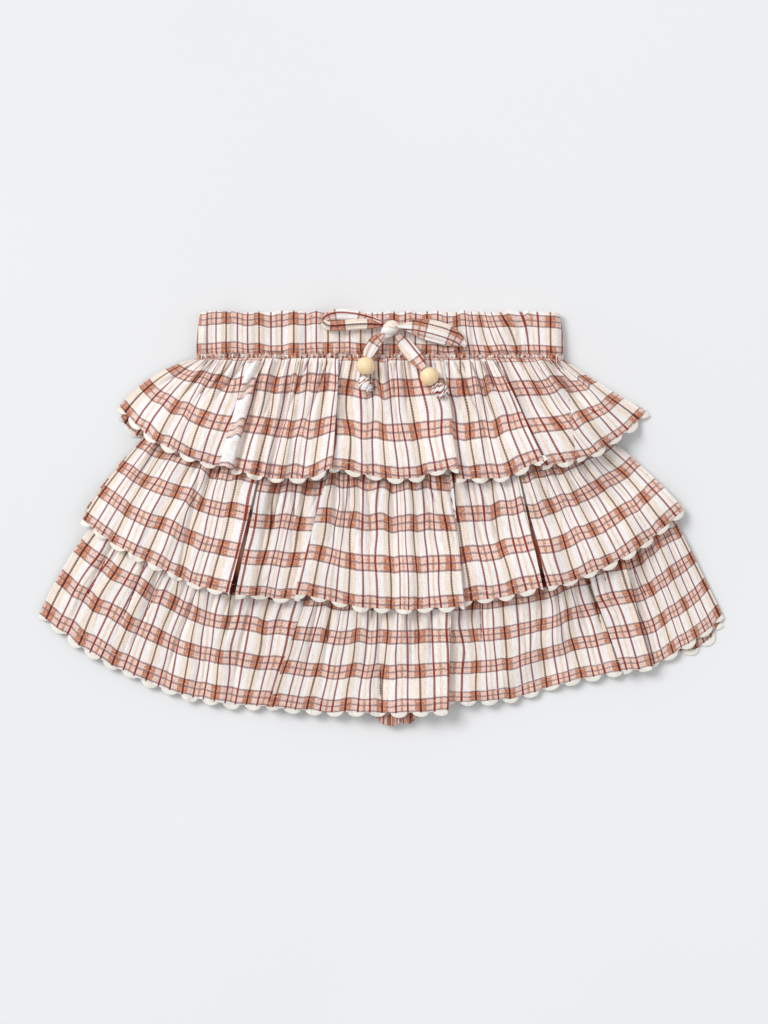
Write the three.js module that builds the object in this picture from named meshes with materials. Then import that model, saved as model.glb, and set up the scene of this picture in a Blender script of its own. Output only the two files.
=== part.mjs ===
// A toddler's tiered ruffle skirt, laid flat on a table with its front up.
// Millimetres. +X is the viewer's right, +Y points to the waist, +Z is up from the table at z = 0.
// Back panels are laid first, and each later panel is draped over all that lies under it.
import * as THREE from "three";

// Driving sizes
const CLOTH = 1; // wall of one layer of gathered cotton
const SEAM = 0.3; // space kept between pieces at a seam
const EASE = 0.05; // what a piece keeps above that as it is laid
const WAIST_WIDTH = 199.4; // the elasticated waistband, relaxed and flat
const WAIST_TOP = 112; // y of the waistband's top edge
const WAIST_DEPTH = 26.5; // height of the elastic casing
const CASING = 3.5; // thickness of one side of the casing with its elastic
const SCALLOP = 11.2; // pitch of the rick-rack's scallops
const SCALLOP_REACH = 3.6; // how far a scallop stands out past the hem
const SCALLOP_NOTCH = 0.9; // what the trim keeps between two scallops
const GATHER = 7; // pitch of the small gathers under the waistband
const BEAD = 10; // diameter of a wooden bead
const CENTRE = [0.4, 1.3]; // x, y of the middle of the whole garment, which becomes the origin

// The waist and hem of each ruffle, with the corners where its side seams end.
// power shapes both curves: 2 is an even arc, more keeps the middle flat and lifts the corners.
// bulge is how far a side seam bows out, and a step lifts the hem past the pleat that lies over it.
const RUFFLES = {
  tier_1: {
    topLeft: -99, topRight: 99.2, topY: 85.2, topCornerY: 85.2,
    hemLeft: -141.5, hemRight: 144.7, hemY: 22.6, hemLeftY: 61.2, hemRightY: 57, power: 3.7,
    bulgeLeft: 4.5, bulgeRight: -0.8, steps: [{ at: 88, rise: 2.5, fade: 25 }],
  },
  tier_2: {
    topLeft: -120, topRight: 112, topY: 36, topCornerY: 50.5,
    hemLeft: -161, hemRight: 164.7, hemY: -46.5, hemLeftY: 4.5, hemRightY: 3, power: 2.8,
    bulgeLeft: 2.2, bulgeRight: 2.4, steps: [{ at: -45.5, rise: 1.5, fade: -30 }],
  },
  tier_3: {
    topLeft: -144.5, topRight: 153.5, topY: -30, topCornerY: 9.4,
    hemLeft: -184.7, hemRight: 185.5, hemY: -104.5, hemLeftY: -51, hemRightY: -49, power: 2.7,
    bulgeLeft: 2.8, bulgeRight: 0.4, steps: [{ at: 36.5, rise: 5, fade: 110 }],
  },
};

// How the back ruffles differ in outline: they slip out a little past the front ones.
const BACK_SLIP = {
  tier_1: { hemLeft: 0.6, hemRight: -1.5, hemLeftY: -6.5, hemRightY: -1, hemY: 1.5 },
  tier_2: { hemLeft: 1.5, hemRight: -1.5, hemLeftY: 1, hemRightY: 1, hemY: 2.5 },
  tier_3: { hemLeft: 1.5, hemRight: -2, hemLeftY: 1, hemRightY: -4.5, hemY: 2.5 },
};

// The folds of each ruffle. top and hem are x where the fold leaves the gathers and where it meets the hem.
// ridge: a raised roll. valley: a trough. over_right, over_left: a pleat edge that lies over the cloth on that side.
// tall is its height, wide its half width or how far a pleat stays raised, from the share of the drop where it starts.
const FRONT_FOLDS = {
  tier_1: [
    { kind: "ridge", top: -93, hem: -121, tall: 1.4, wide: 7, from: 0.1 },
    { kind: "valley", top: -88, hem: -106, tall: 1.2, wide: 5, from: 0 },
    { kind: "ridge", top: -63, hem: -84, tall: 2.8, wide: 6, from: 0 },
    { kind: "valley", top: -57, hem: -72, tall: 1.8, wide: 5, from: 0 },
    { kind: "ridge", top: -47, hem: -60, tall: 1.6, wide: 8, from: 0 },
    { kind: "over_right", top: -22, hem: -26, tall: 3.2, wide: 20, from: 0 },
    { kind: "ridge", top: 3, hem: 2, tall: 1.4, wide: 8, from: 0.2 },
    { kind: "valley", top: 13, hem: 24, tall: 1.6, wide: 5, from: 0 },
    { kind: "over_right", top: 33, hem: 42, tall: 3.6, wide: 14, from: 0 },
    { kind: "over_right", top: 62, hem: 88, tall: 3.4, wide: 15, from: 0 },
    { kind: "over_left", top: 94, hem: 111, tall: 2.2, wide: 14, from: 0.4 },
    { kind: "ridge", top: 97, hem: 133, tall: 1.4, wide: 6, from: 0.2 },
  ],
  tier_2: [
    { kind: "ridge", top: -88, hem: -122, tall: 1.5, wide: 8, from: 0 },
    { kind: "ridge", top: -66, hem: -88, tall: 2.2, wide: 7, from: 0 },
    { kind: "valley", top: -60, hem: -79, tall: 3, wide: 4, from: 0 },
    { kind: "ridge", top: -52, hem: -68, tall: 1.6, wide: 7, from: 0 },
    { kind: "over_left", top: -22, hem: -45.5, tall: 3.4, wide: 24, from: 0 },
    { kind: "valley", top: 8, hem: 7, tall: 1.3, wide: 5, from: 0 },
    { kind: "ridge", top: 15, hem: 16, tall: 1.5, wide: 7, from: 0 },
    { kind: "over_right", top: 37, hem: 45, tall: 3.4, wide: 22, from: 0 },
    { kind: "over_left", top: 72, hem: 90, tall: 3.2, wide: 22, from: 0 },
    { kind: "ridge", top: 100, hem: 142, tall: 1.8, wide: 7, from: 0.1 },
  ],
  tier_3: [
    { kind: "ridge", top: -112, hem: -150, tall: 1.2, wide: 12, from: 0 },
    { kind: "ridge", top: -80, hem: -90, tall: 1.4, wide: 9, from: 0 },
    { kind: "over_left", top: -30, hem: -60, tall: 3.6, wide: 26, from: 0 },
    { kind: "valley", top: 6, hem: 2, tall: 1.2, wide: 6, from: 0 },
    { kind: "over_right", top: 39, hem: 36.5, tall: 3.8, wide: 26, from: 0 },
    { kind: "valley", top: 84, hem: 90, tall: 1.2, wide: 6, from: 0 },
    { kind: "over_right", top: 127, hem: 147, tall: 3, wide: 18, from: 0 },
    { kind: "ridge", top: 122, hem: 131, tall: 1.6, wide: 5, from: 0.6 },
  ],
};

// The back lies on the table, so its folds are pressed low.
const BACK_FOLDS = {
  tier_1: [
    { kind: "ridge", top: -70, hem: -96, tall: 0.6, wide: 7, from: 0 },
    { kind: "ridge", top: -38, hem: -48, tall: 0.8, wide: 6, from: 0 },
    { kind: "ridge", top: -6, hem: -10, tall: 0.6, wide: 8, from: 0 },
    { kind: "ridge", top: 28, hem: 36, tall: 0.8, wide: 6, from: 0 },
    { kind: "ridge", top: 66, hem: 92, tall: 0.6, wide: 7, from: 0 },
  ],
  tier_2: [
    { kind: "ridge", top: -84, hem: -118, tall: 0.6, wide: 7, from: 0 },
    { kind: "ridge", top: -44, hem: -62, tall: 0.8, wide: 6, from: 0 },
    { kind: "ridge", top: 0, hem: -4, tall: 0.6, wide: 8, from: 0 },
    { kind: "ridge", top: 40, hem: 54, tall: 0.8, wide: 6, from: 0 },
    { kind: "ridge", top: 80, hem: 112, tall: 0.6, wide: 7, from: 0 },
  ],
  tier_3: [
    { kind: "ridge", top: -104, hem: -134, tall: 0.6, wide: 8, from: 0 },
    { kind: "ridge", top: -58, hem: -76, tall: 0.8, wide: 7, from: 0 },
    { kind: "ridge", top: -8, hem: -14, tall: 0.6, wide: 9, from: 0 },
    { kind: "ridge", top: 46, hem: 58, tall: 0.8, wide: 7, from: 0 },
    { kind: "ridge", top: 98, hem: 126, tall: 0.6, wide: 8, from: 0 },
  ],
};

// The yoke that carries the second and third ruffles, and the bloomers whose crotch shows under the hem:
// a row for each section from the waist down, with the y where it meets the centre line and its two sides.
const YOKE = [
  { y: 84.9, left: -86, right: 86 },
  { y: 40, left: -102, right: 100 },
  { y: 0, left: -116, right: 120 },
  { y: -26, left: -122, right: 130 },
];
const BLOOMERS = [
  { y: 84.9, left: -80, right: 80 },
  { y: 30, left: -90, right: 92 },
  { y: -30, left: -98, right: 102 },
  { y: -60, left: -82, right: 92 },
  { y: -86, left: -44, right: 58 },
  { y: -103, left: -6, right: 24 },
  { y: -111.4, left: 1.5, right: 16 },
];

// The tie: its straps' routes over the waistband, a row for each section, with the strap's width there
// and how high it crowns. A strap that starts or ends at a knot or bead stops just clear of it.
const TIE = {
  bow_loop_left_return: {
    starts: null, ends: "bow_knot",
    sections: [
      { x: -30.5, y: 107, wide: 6, rise: 0.4 },
      { x: -24, y: 110.4, wide: 7, rise: 0.2 },
      { x: -12, y: 109.7, wide: 6, rise: 0.2 },
      { x: -1, y: 106, wide: 4, rise: 0.2 },
    ],
  },
  bow_loop_left: {
    starts: "bow_knot", ends: null,
    sections: [
      { x: -0.8, y: 102.2, wide: 4.5, rise: 1 },
      { x: -8, y: 103.6, wide: 7.5, rise: 1.6 },
      { x: -20, y: 103.2, wide: 8.5, rise: 1.6 },
      { x: -29, y: 105.5, wide: 8.5, rise: 1.2 },
    ],
  },
  bow_loop_right: {
    starts: "bow_knot", ends: null,
    sections: [
      { x: 11.2, y: 101.8, wide: 6, rise: 1.2 },
      { x: 20, y: 102.6, wide: 13, rise: 1.6 },
      { x: 32, y: 99.5, wide: 14.5, rise: 1.4 },
      { x: 45, y: 94.5, wide: 8, rise: 0.5 },
    ],
  },
  tie_end_left: {
    starts: "bow_knot", ends: "bead_left",
    sections: [
      { x: 2, y: 97, wide: 5.5, rise: 0.6 },
      { x: -1.5, y: 92, wide: 8.5, rise: 0.8 },
      { x: -4.8, y: 87, wide: 6, rise: 0.6 },
    ],
  },
  tie_end_right: {
    starts: "bow_knot", ends: "bead_right",
    sections: [
      { x: 8.8, y: 97, wide: 5.5, rise: 0.6 },
      { x: 15, y: 90.6, wide: 10, rise: 0.8 },
      { x: 23.4, y: 80.8, wide: 7, rise: 0.6 },
    ],
  },
};
const KNOTS = [
  { name: "bow_knot", x: 5.2, y: 102, long: 10.5, wide: 8, tall: 6.5, turn: 0.5 },
  { name: "end_knot_left", x: -7.6, y: 72, long: 9.5, wide: 8, tall: 6.5, turn: 1.9 },
  { name: "end_knot_right", x: 32.4, y: 68.6, long: 9.5, wide: 8.5, tall: 6.5, turn: -0.8 },
];
const BEADS = [
  { name: "bead_left", x: -7.6, y: 82 },
  { name: "bead_right", x: 26.5, y: 76.3 },
];

const material = (color, roughness = 0.9) => new THREE.MeshStandardMaterial({ color, roughness, metalness: 0 });
const PLAID = material(0xdcbfae);
const CREAM = material(0xefe5d2);
const WOOD = material(0xf2d59a, 0.55);

const { lerp, smoothstep, clamp } = THREE.MathUtils;

// The highest surface laid so far, on a square grid over the table.
class Surface {
  static CELL = 2;
  static HALF_X = 204;
  static HALF_Y = 124;
  constructor() {
    this.columns = Math.round((2 * Surface.HALF_X) / Surface.CELL) + 1;
    this.rows = Math.round((2 * Surface.HALF_Y) / Surface.CELL) + 1;
    this.heights = new Float32Array(this.columns * this.rows);
  }
  // Calls visit(grid point, height of the triangle there, share of each corner in it)
  // for each grid point in or just off a triangle.
  static underTriangle([a, b, c], visit) {
    const area = (b.x - a.x) * (c.y - a.y) - (c.x - a.x) * (b.y - a.y);
    if (Math.abs(area) < 1e-9) return;
    const NEAR = 0.15; // share of the triangle that counts as just off it
    const rows = Math.round((2 * Surface.HALF_Y) / Surface.CELL) + 1;
    const first = (values, half) => Math.floor((Math.min(...values) + half) / Surface.CELL);
    const last = (values, half) => Math.ceil((Math.max(...values) + half) / Surface.CELL);
    const lastColumn = last([a.x, b.x, c.x], Surface.HALF_X);
    const lastRow = last([a.y, b.y, c.y], Surface.HALF_Y);
    for (let i = first([a.x, b.x, c.x], Surface.HALF_X); i <= lastColumn; i++) {
      for (let j = first([a.y, b.y, c.y], Surface.HALF_Y); j <= lastRow; j++) {
        const x = i * Surface.CELL - Surface.HALF_X;
        const y = j * Surface.CELL - Surface.HALF_Y;
        const shareB = ((x - a.x) * (c.y - a.y) - (c.x - a.x) * (y - a.y)) / area;
        const shareC = ((b.x - a.x) * (y - a.y) - (x - a.x) * (b.y - a.y)) / area;
        if (shareB < -NEAR || shareC < -NEAR || shareB + shareC > 1 + NEAR) continue;
        const z = a.z + shareB * (b.z - a.z) + shareC * (c.z - a.z);
        const height = clamp(z, Math.min(a.z, b.z, c.z), Math.max(a.z, b.z, c.z));
        visit(i * rows + j, height, [1 - shareB - shareC, shareB, shareC]);
      }
    }
  }
  // Raises the grid to the top of a solid.
  cover(geometry) {
    forEachTriangle(geometry, (corners, indices, facing) => {
      if (facing <= 0) return;
      Surface.underTriangle(corners, (at, z) => {
        this.heights[at] = Math.max(this.heights[at], z);
      });
    });
  }
  copy() {
    const copy = new Surface();
    copy.heights.set(this.heights);
    return copy;
  }
  // A copy in which each grid point holds combine() of its neighbours within radius.
  filtered(radius, start, combine, finish) {
    const copy = new Surface();
    const reach = Math.round(radius / Surface.CELL);
    for (let i = 0; i < this.columns; i++) {
      for (let j = 0; j < this.rows; j++) {
        let value = start;
        let count = 0;
        for (let di = -reach; di <= reach; di++) {
          for (let dj = -reach; dj <= reach; dj++) {
            if (di * di + dj * dj > reach * reach) continue;
            const column = clamp(i + di, 0, this.columns - 1);
            const row = clamp(j + dj, 0, this.rows - 1);
            value = combine(value, this.heights[column * this.rows + row]);
            count += 1;
          }
        }
        copy.heights[i * this.rows + j] = finish(value, count);
      }
    }
    return copy;
  }
  // The smooth surface that a cloth laid on all this takes: never under it, and level for stretch beyond each edge.
  drape(stretch, softness) {
    return this.filtered(stretch, 0, Math.max, (value) => value).filtered(
      softness, 0, (sum, value) => sum + value, (sum, count) => sum / count);
  }
  heightAt(x, y) {
    const column = clamp((x + Surface.HALF_X) / Surface.CELL, 0, this.columns - 1.001);
    const row = clamp((y + Surface.HALF_Y) / Surface.CELL, 0, this.rows - 1.001);
    const i = Math.floor(column);
    const j = Math.floor(row);
    const at = (di, dj) => this.heights[(i + di) * this.rows + j + dj];
    return lerp(lerp(at(0, 0), at(0, 1), row - j), lerp(at(1, 0), at(1, 1), row - j), column - i);
  }
}

function forEachTriangle(geometry, visit) {
  const positions = geometry.attributes.position;
  for (let t = 0; t < geometry.index.count; t += 3) {
    const indices = [0, 1, 2].map((k) => geometry.index.getX(t + k));
    const corners = indices.map((vertex) => new THREE.Vector3().fromBufferAttribute(positions, vertex));
    const [a, b, c] = corners;
    visit(corners, indices, (b.x - a.x) * (c.y - a.y) - (c.x - a.x) * (b.y - a.y));
  }
}

// Calls visit(how far a solid's underside lies too low, its three corners there, their shares).
function forEachShortfall(geometry, highest, visit) {
  forEachTriangle(geometry, (corners, indices, facing) => {
    if (facing >= 0) return;
    Surface.underTriangle(corners, (at, z, shares) => {
      const below = highest.heights[at];
      const lack = below + (below > 0.01 ? SEAM : 0) - z;
      if (lack > 0) visit(lack, indices, shares);
    });
  });
}

const laid = new Surface();
const casing = new Surface(); // the waistband lies clear of the ruffles, so it has a surface of its own
const group = new THREE.Group();

function addPiece(name, geometry, look) {
  const mesh = new THREE.Mesh(geometry, look);
  mesh.name = name;
  group.add(mesh);
  laid.cover(geometry);
  return mesh;
}

// A closed wall around a grid of points on its middle surface: grid[column][row], columns to the right, rows down.
function wall(grid, thickness) {
  const columns = grid.length;
  const rows = grid[0].length;
  const positions = [];
  const across = new THREE.Vector3();
  const along = new THREE.Vector3();
  for (const side of [1, -1]) {
    for (let i = 0; i < columns; i++) {
      for (let j = 0; j < rows; j++) {
        across.subVectors(grid[Math.min(i + 1, columns - 1)][j], grid[Math.max(i - 1, 0)][j]);
        along.subVectors(grid[i][Math.max(j - 1, 0)], grid[i][Math.min(j + 1, rows - 1)]);
        if (i === 0 || i === columns - 1) across.z = 0; // the wall's own edges stay upright
        if (j === 0 || j === rows - 1) along.z = 0;
        const normal = across.cross(along).normalize();
        const depth = typeof thickness === "function" ? thickness(i, j) : thickness;
        positions.push(...grid[i][j].clone().addScaledVector(normal, (side * depth) / 2).toArray());
      }
    }
  }
  const top = (i, j) => i * rows + j;
  const bottom = (i, j) => columns * rows + i * rows + j;
  const index = [];
  const quad = (a, b, c, d) => index.push(a, b, c, a, c, d);
  for (let i = 0; i < columns - 1; i++) {
    for (let j = 0; j < rows - 1; j++) {
      quad(top(i, j), top(i, j + 1), top(i + 1, j + 1), top(i + 1, j));
      quad(bottom(i, j), bottom(i + 1, j), bottom(i + 1, j + 1), bottom(i, j + 1));
    }
    quad(top(i + 1, 0), bottom(i + 1, 0), bottom(i, 0), top(i, 0));
    quad(top(i, rows - 1), bottom(i, rows - 1), bottom(i + 1, rows - 1), top(i + 1, rows - 1));
  }
  for (let j = 0; j < rows - 1; j++) {
    quad(top(0, j), bottom(0, j), bottom(0, j + 1), top(0, j + 1));
    quad(top(columns - 1, j + 1), bottom(columns - 1, j + 1), bottom(columns - 1, j), top(columns - 1, j));
  }
  const geometry = new THREE.BufferGeometry();
  geometry.setAttribute("position", new THREE.Float32BufferAttribute(positions, 3));
  geometry.setIndex(index);
  geometry.computeVertexNormals();
  return geometry;
}

// Raises a grid wherever its wall would touch what is already laid, then makes the wall.
function settledWall(grid, thickness, below = laid) {
  const highest = below.filtered(Surface.CELL, 0, Math.max, (value) => value);
  const rows = grid[0].length;
  const corners = grid.length * rows;
  for (let round = 0; round < 40; round++) {
    const lacks = new Float32Array(corners * 2);
    let worst = 0;
    forEachShortfall(wall(grid, thickness), highest, (lack, indices, shares) => {
      const weight = shares.reduce((sum, share) => sum + share * share, 0);
      indices.forEach((vertex, k) => {
        lacks[vertex] = Math.max(lacks[vertex], (lack * Math.max(shares[k], 0)) / weight);
      });
    });
    for (let i = 0; i < grid.length; i++) {
      for (let j = 0; j < rows; j++) {
        const lack = Math.max(lacks[i * rows + j], lacks[corners + i * rows + j]);
        grid[i][j].z += lack;
        worst = Math.max(worst, lack);
      }
    }
    if (worst < 0.01) break;
  }
  return wall(grid, thickness);
}

// How far a fold raises the cloth at x, at a share of the drop from waist to hem.
function foldHeight(fold, x, drop) {
  const EDGE = 1.3; // how sharply a pleat's edge falls
  const side = x - lerp(fold.top, fold.hem, drop);
  const strength = fold.tall * smoothstep(drop, fold.from - 0.15, fold.from + 0.35);
  if (fold.kind === "ridge") return strength * Math.exp(-((side / fold.wide) ** 2));
  if (fold.kind === "valley") return -strength * Math.exp(-((side / fold.wide) ** 2));
  const inward = fold.kind === "over_right" ? -side : side;
  return (strength * Math.exp(-Math.max(inward, 0) / fold.wide)) / (1 + Math.exp(-inward / EDGE));
}

// Columns across a ruffle, closer together where its folds meet the hem.
function columnShares(ruffle, folds, count) {
  const STEPS = 600;
  const NEAR = 7;
  const width = ruffle.hemRight - ruffle.hemLeft;
  const weights = [0];
  for (let k = 1; k <= STEPS; k++) {
    const x = ruffle.hemLeft + (width * (k - 0.5)) / STEPS;
    const crowd = folds.reduce((sum, fold) => sum + Math.exp(-(((x - fold.hem) / NEAR) ** 2)), 0);
    weights.push(weights[k - 1] + 1 + 1.6 * crowd);
  }
  const shares = [];
  for (let i = 0, k = 0; i < count; i++) {
    const target = (weights[STEPS] * i) / (count - 1);
    while (k < STEPS - 1 && weights[k + 1] < target) k += 1;
    shares.push((k + (target - weights[k]) / (weights[k + 1] - weights[k])) / STEPS);
  }
  return shares;
}

// The place of a ruffle's cloth on the table at a share across and a share of the drop.
function rufflePoint(ruffle, share, drop) {
  const side = 2 * share - 1;
  const curve = Math.abs(side) ** ruffle.power;
  const hemCorner = side < 0 ? ruffle.hemLeftY : ruffle.hemRightY;
  const x = lerp(lerp(ruffle.topLeft, ruffle.topRight, share), lerp(ruffle.hemLeft, ruffle.hemRight, share), drop);
  const y = lerp(lerp(ruffle.topY, ruffle.topCornerY, curve), lerp(ruffle.hemY, hemCorner, curve), drop);
  const seam = side < 0
    ? new THREE.Vector2(ruffle.hemLeftY - ruffle.topCornerY, ruffle.topLeft - ruffle.hemLeft)
    : new THREE.Vector2(ruffle.topCornerY - ruffle.hemRightY, ruffle.hemRight - ruffle.topRight);
  const bulge = (side < 0 ? ruffle.bulgeLeft : ruffle.bulgeRight) * 4 * drop * (1 - drop) * side ** 4;
  const outward = seam.normalize().multiplyScalar(bulge);
  const lift = ruffle.steps.reduce((sum, { at, rise, fade }) => {
    const past = (x - at) * Math.sign(fade);
    return sum + rise * smoothstep(past, -7, 5) * Math.exp(-Math.max(past, 0) / Math.abs(fade));
  }, 0);
  return { x: x + outward.x, y: y + outward.y + lift * drop * drop };
}

// A gathered ruffle: its folds, a puff of air under it and the small gathers at its seam.
// hidden is the share of its drop that the ruffle above presses flat.
function addRuffle(name, ruffle, folds, { columns, drops, puff, gathers, hidden }) {
  const FOOT = 0.1; // the lowest part of each fold lies flat on the table
  const under = laid.drape(8, 6);
  const shares = columnShares(ruffle, folds, columns);
  const heightOf = (x, share, drop) => {
    const edge = smoothstep(Math.min(share, 1 - share), 0, 0.04);
    const air = puff * edge * smoothstep(drop, 0, 0.3);
    const raised = folds.reduce((sum, fold) => sum + foldHeight(fold, x, drop), 0) * smoothstep(drop, -hidden, hidden);
    const wave = Math.sin((2 * Math.PI * lerp(ruffle.topLeft, ruffle.topRight, share)) / GATHER);
    const gather = gathers * (0.5 + 0.5 * wave) * (1 - smoothstep(drop, 0.05, 0.45));
    return Math.max(0, air + raised * edge - FOOT) + gather * edge;
  };
  const grid = shares.map((share) =>
    drops.map((drop) => {
      const { x, y } = rufflePoint(ruffle, share, drop);
      const rest = under.heightAt(x, y);
      const clearance = rest > 0.01 ? SEAM + EASE : 0;
      return new THREE.Vector3(x, y, rest + clearance + CLOTH / 2 + heightOf(x, share, drop));
    }),
  );
  const below = laid.copy();
  addPiece(name, settledWall(grid, CLOTH), PLAID);
  return { grid, below };
}

// Rick-rack along a ruffle's hem: a flat strip whose outer edge is a row of scallops.
function addTrim(name, { grid, below }, stepsPerScallop) {
  const hem = grid.map((column) => column[column.length - 1]);
  const lengths = [0];
  for (let i = 1; i < hem.length; i++) lengths.push(lengths[i - 1] + hem[i].distanceTo(hem[i - 1]));
  const total = lengths[lengths.length - 1];
  const hemAt = (target) => {
    const i = clamp(lengths.findIndex((length) => length > target), 1, hem.length - 1);
    const start = target < total ? i : hem.length - 1;
    return hem[start - 1].clone().lerp(hem[start], (target - lengths[start - 1]) / (lengths[start] - lengths[start - 1]));
  };
  const scallops = Math.round(total / SCALLOP);
  const steps = scallops * stepsPerScallop;
  const strip = [];
  for (let n = 0; n <= steps; n++) {
    const target = (total * n) / steps;
    const edge = hemAt(target);
    const tangent = hemAt(Math.min(target + 3, total)).sub(hemAt(Math.max(target - 3, 0)));
    const outward = new THREE.Vector3(tangent.y, -tangent.x, 0).normalize();
    const bulge = Math.sin((Math.PI * (n % stepsPerScallop)) / stepsPerScallop) ** 0.7;
    const reach = lerp(SCALLOP_NOTCH, SCALLOP_REACH, bulge);
    strip.push([0, reach].map((out) => edge.clone().addScaledVector(outward, SEAM + EASE + out)));
  }
  addPiece(name, settledWall(strip, CLOTH, below), CREAM);
}

// A plain flat panel between the left and right sides that its sections name.
function addPanel(name, sections, columns, rows) {
  const under = laid.drape(6, 4);
  const grid = [];
  for (let i = 0; i < columns; i++) {
    grid.push([]);
    for (let j = 0; j < rows; j++) {
      const at = (j / (rows - 1)) * (sections.length - 1);
      const k = Math.min(Math.floor(at), sections.length - 2);
      const part = (side) => lerp(sections[k][side], sections[k + 1][side], at - k);
      const x = lerp(part("left"), part("right"), i / (columns - 1));
      grid[i].push(new THREE.Vector3(x, part("y"), under.heightAt(x, part("y")) + SEAM + EASE + CLOTH / 2));
    }
  }
  addPiece(name, settledWall(grid, CLOTH), PLAID);
}

// One side of the elastic casing, with the elastic's gathers as soft ribs and a slightly wavy top edge.
function addWaistband(name, { columns, ribs, ribHeight }) {
  const RIB_PITCH = 13.3;
  const under = casing.drape(8, 6);
  const downs = [0, 0.12, 0.5, 0.88, 1];
  const across = Array.from({ length: columns }, (_, i) => i / (columns - 1));
  const edgeOf = (share) => smoothstep(Math.min(share, 1 - share), 0, 0.03);
  const fullness = (share, down) => CASING * lerp(0.45, 1, edgeOf(share)) * lerp(0.6, 1, 1 - (2 * down - 1) ** 4);
  const rib = (share) => (ribs ? ribHeight * (0.5 + 0.5 * Math.sin((2 * Math.PI * share * WAIST_WIDTH) / RIB_PITCH)) : 0);
  const grid = across.map((share) =>
    downs.map((down) => {
      const x = (share - 0.5) * (WAIST_WIDTH - 5 * (1 - down) ** 2 - 1.5 * down ** 4);
      const wave = 0.4 * Math.sin(x / 4.1) * (1 - down);
      const y = WAIST_TOP + wave - down * WAIST_DEPTH;
      const thick = fullness(share, down) + rib(share);
      const rest = under.heightAt(x, y);
      return new THREE.Vector3(x, y, rest + (rest > 0.01 ? SEAM + EASE : 0) + thick / 2);
    }),
  );
  const thickness = (i, j) => fullness(across[i], downs[j]) + rib(across[i]);
  casing.cover(addPiece(name, settledWall(grid, thickness, casing), PLAID).geometry);
}

// A knot or a bead: a rounded lump resting on what is under it.
const lumps = {};
function addLump(name, { x, y, long, wide, tall, turn = 0 }, look, rings, resting) {
  const lump = new THREE.SphereGeometry(0.5, rings * 2, rings);
  lump.deleteAttribute("normal");
  lump.deleteAttribute("uv");
  lump.rotateX(Math.PI / 2);
  lump.scale(long, wide, tall);
  lump.rotateZ(turn);
  lump.translate(x, y, tall / 2);
  let lift = 0;
  forEachShortfall(lump, resting, (lack) => {
    lift = Math.max(lift, lack);
  });
  lump.translate(0, 0, lift);
  lumps[name] = { x, y, z: lift + tall / 2, long, wide, turn };
  addPiece(name, lump, look);
}

// The point just clear of a lump's rim on the side of another point.
function beside(lump, towards) {
  const angle = Math.atan2(towards.y - lump.y, towards.x - lump.x);
  const local = angle - lump.turn;
  const radius = 0.5 / Math.hypot(Math.cos(local) / lump.long, Math.sin(local) / lump.wide);
  const reach = radius + SEAM + EASE;
  return new THREE.Vector3(lump.x + reach * Math.cos(angle), lump.y + reach * Math.sin(angle), 0);
}

// A flat strap along a route, laid on the waistband and the straps before it.
function addStrap(name, { starts, ends, sections }, straps) {
  const STRAP = 1.6; // the tie is a folded tube of cloth
  const STEPS = 10;
  const under = straps.drape(6, 4);
  const route = sections.map(({ x, y }) => new THREE.Vector3(x, y, 0));
  if (starts) route[0] = beside(lumps[starts], route[0]);
  if (ends) route[route.length - 1] = beside(lumps[ends], route[route.length - 1]);
  const spine = new THREE.CatmullRomCurve3(route);
  const grid = [];
  for (let i = 0; i <= STEPS; i++) {
    const part = i / STEPS;
    const at = part * (sections.length - 1);
    const k = Math.min(Math.floor(at), sections.length - 2);
    const wide = lerp(sections[k].wide, sections[k + 1].wide, at - k);
    const rise = lerp(sections[k].rise, sections[k + 1].rise, at - k);
    const centre = spine.getPoint(part);
    const tangent = spine.getTangent(part);
    if (starts && i === 0) tangent.set(centre.x - lumps[starts].x, centre.y - lumps[starts].y, 0);
    if (ends && i === STEPS) tangent.set(lumps[ends].x - centre.x, lumps[ends].y - centre.y, 0);
    const sideways = new THREE.Vector3(tangent.y, -tangent.x, 0).normalize();
    grid.push([0.5, 0.25, -0.25, -0.5].map((offset) => {
      const point = centre.clone().addScaledVector(sideways, -offset * wide);
      const lying = under.heightAt(point.x, point.y) + SEAM + EASE + STRAP / 2 + rise * (1 - (2 * offset) ** 2);
      const start = starts ? Math.max(lumps[starts].z - lying, 0) * smoothstep(1 - part, 0.7, 1) : 0;
      const end = ends ? Math.max(lumps[ends].z - lying, 0) * smoothstep(part, 0.5, 1) : 0;
      point.z = lying + start + end;
      return point;
    }));
  }
  straps.cover(addPiece(name, settledWall(grid, STRAP, straps), PLAID).geometry);
}

const BACK = { columns: 44, drops: [0, 0.2, 0.4, 0.7, 1], puff: 0, gathers: 0, hidden: 0.5 };
for (const tier of Object.keys(RUFFLES)) {
  const back = { ...RUFFLES[tier] };
  for (const [size, slip] of Object.entries(BACK_SLIP[tier])) back[size] += slip;
  const ruffle = addRuffle(`${tier}_back`, back, BACK_FOLDS[tier], BACK);
  addTrim(`${tier}_back_trim`, ruffle, 2);
}
addPanel("yoke_back", YOKE, 17, 7);
addPanel("bloomers_back", BLOOMERS, 13, 13);
addPanel("bloomers_front", BLOOMERS, 13, 13);
addPanel("yoke_front", YOKE, 17, 7);
const FRONT = {
  tier_3: { columns: 76, drops: [0, 0.22, 0.45, 0.75, 1], puff: 1, gathers: 0, hidden: 0.22 },
  tier_2: { columns: 76, drops: [0, 0.22, 0.45, 0.75, 1], puff: 1, gathers: 0, hidden: 0.22 },
  tier_1: { columns: 92, drops: [0, 0.08, 0.22, 0.45, 0.75, 1], puff: 1, gathers: 1.2, hidden: 0.06 },
};
for (const tier of Object.keys(FRONT)) {
  const ruffle = addRuffle(`${tier}_front`, RUFFLES[tier], FRONT_FOLDS[tier], FRONT[tier]);
  addTrim(`${tier}_front_trim`, ruffle, 3);
}
addWaistband("waistband_back", { columns: 24, ribs: false, ribHeight: 0 });
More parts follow.
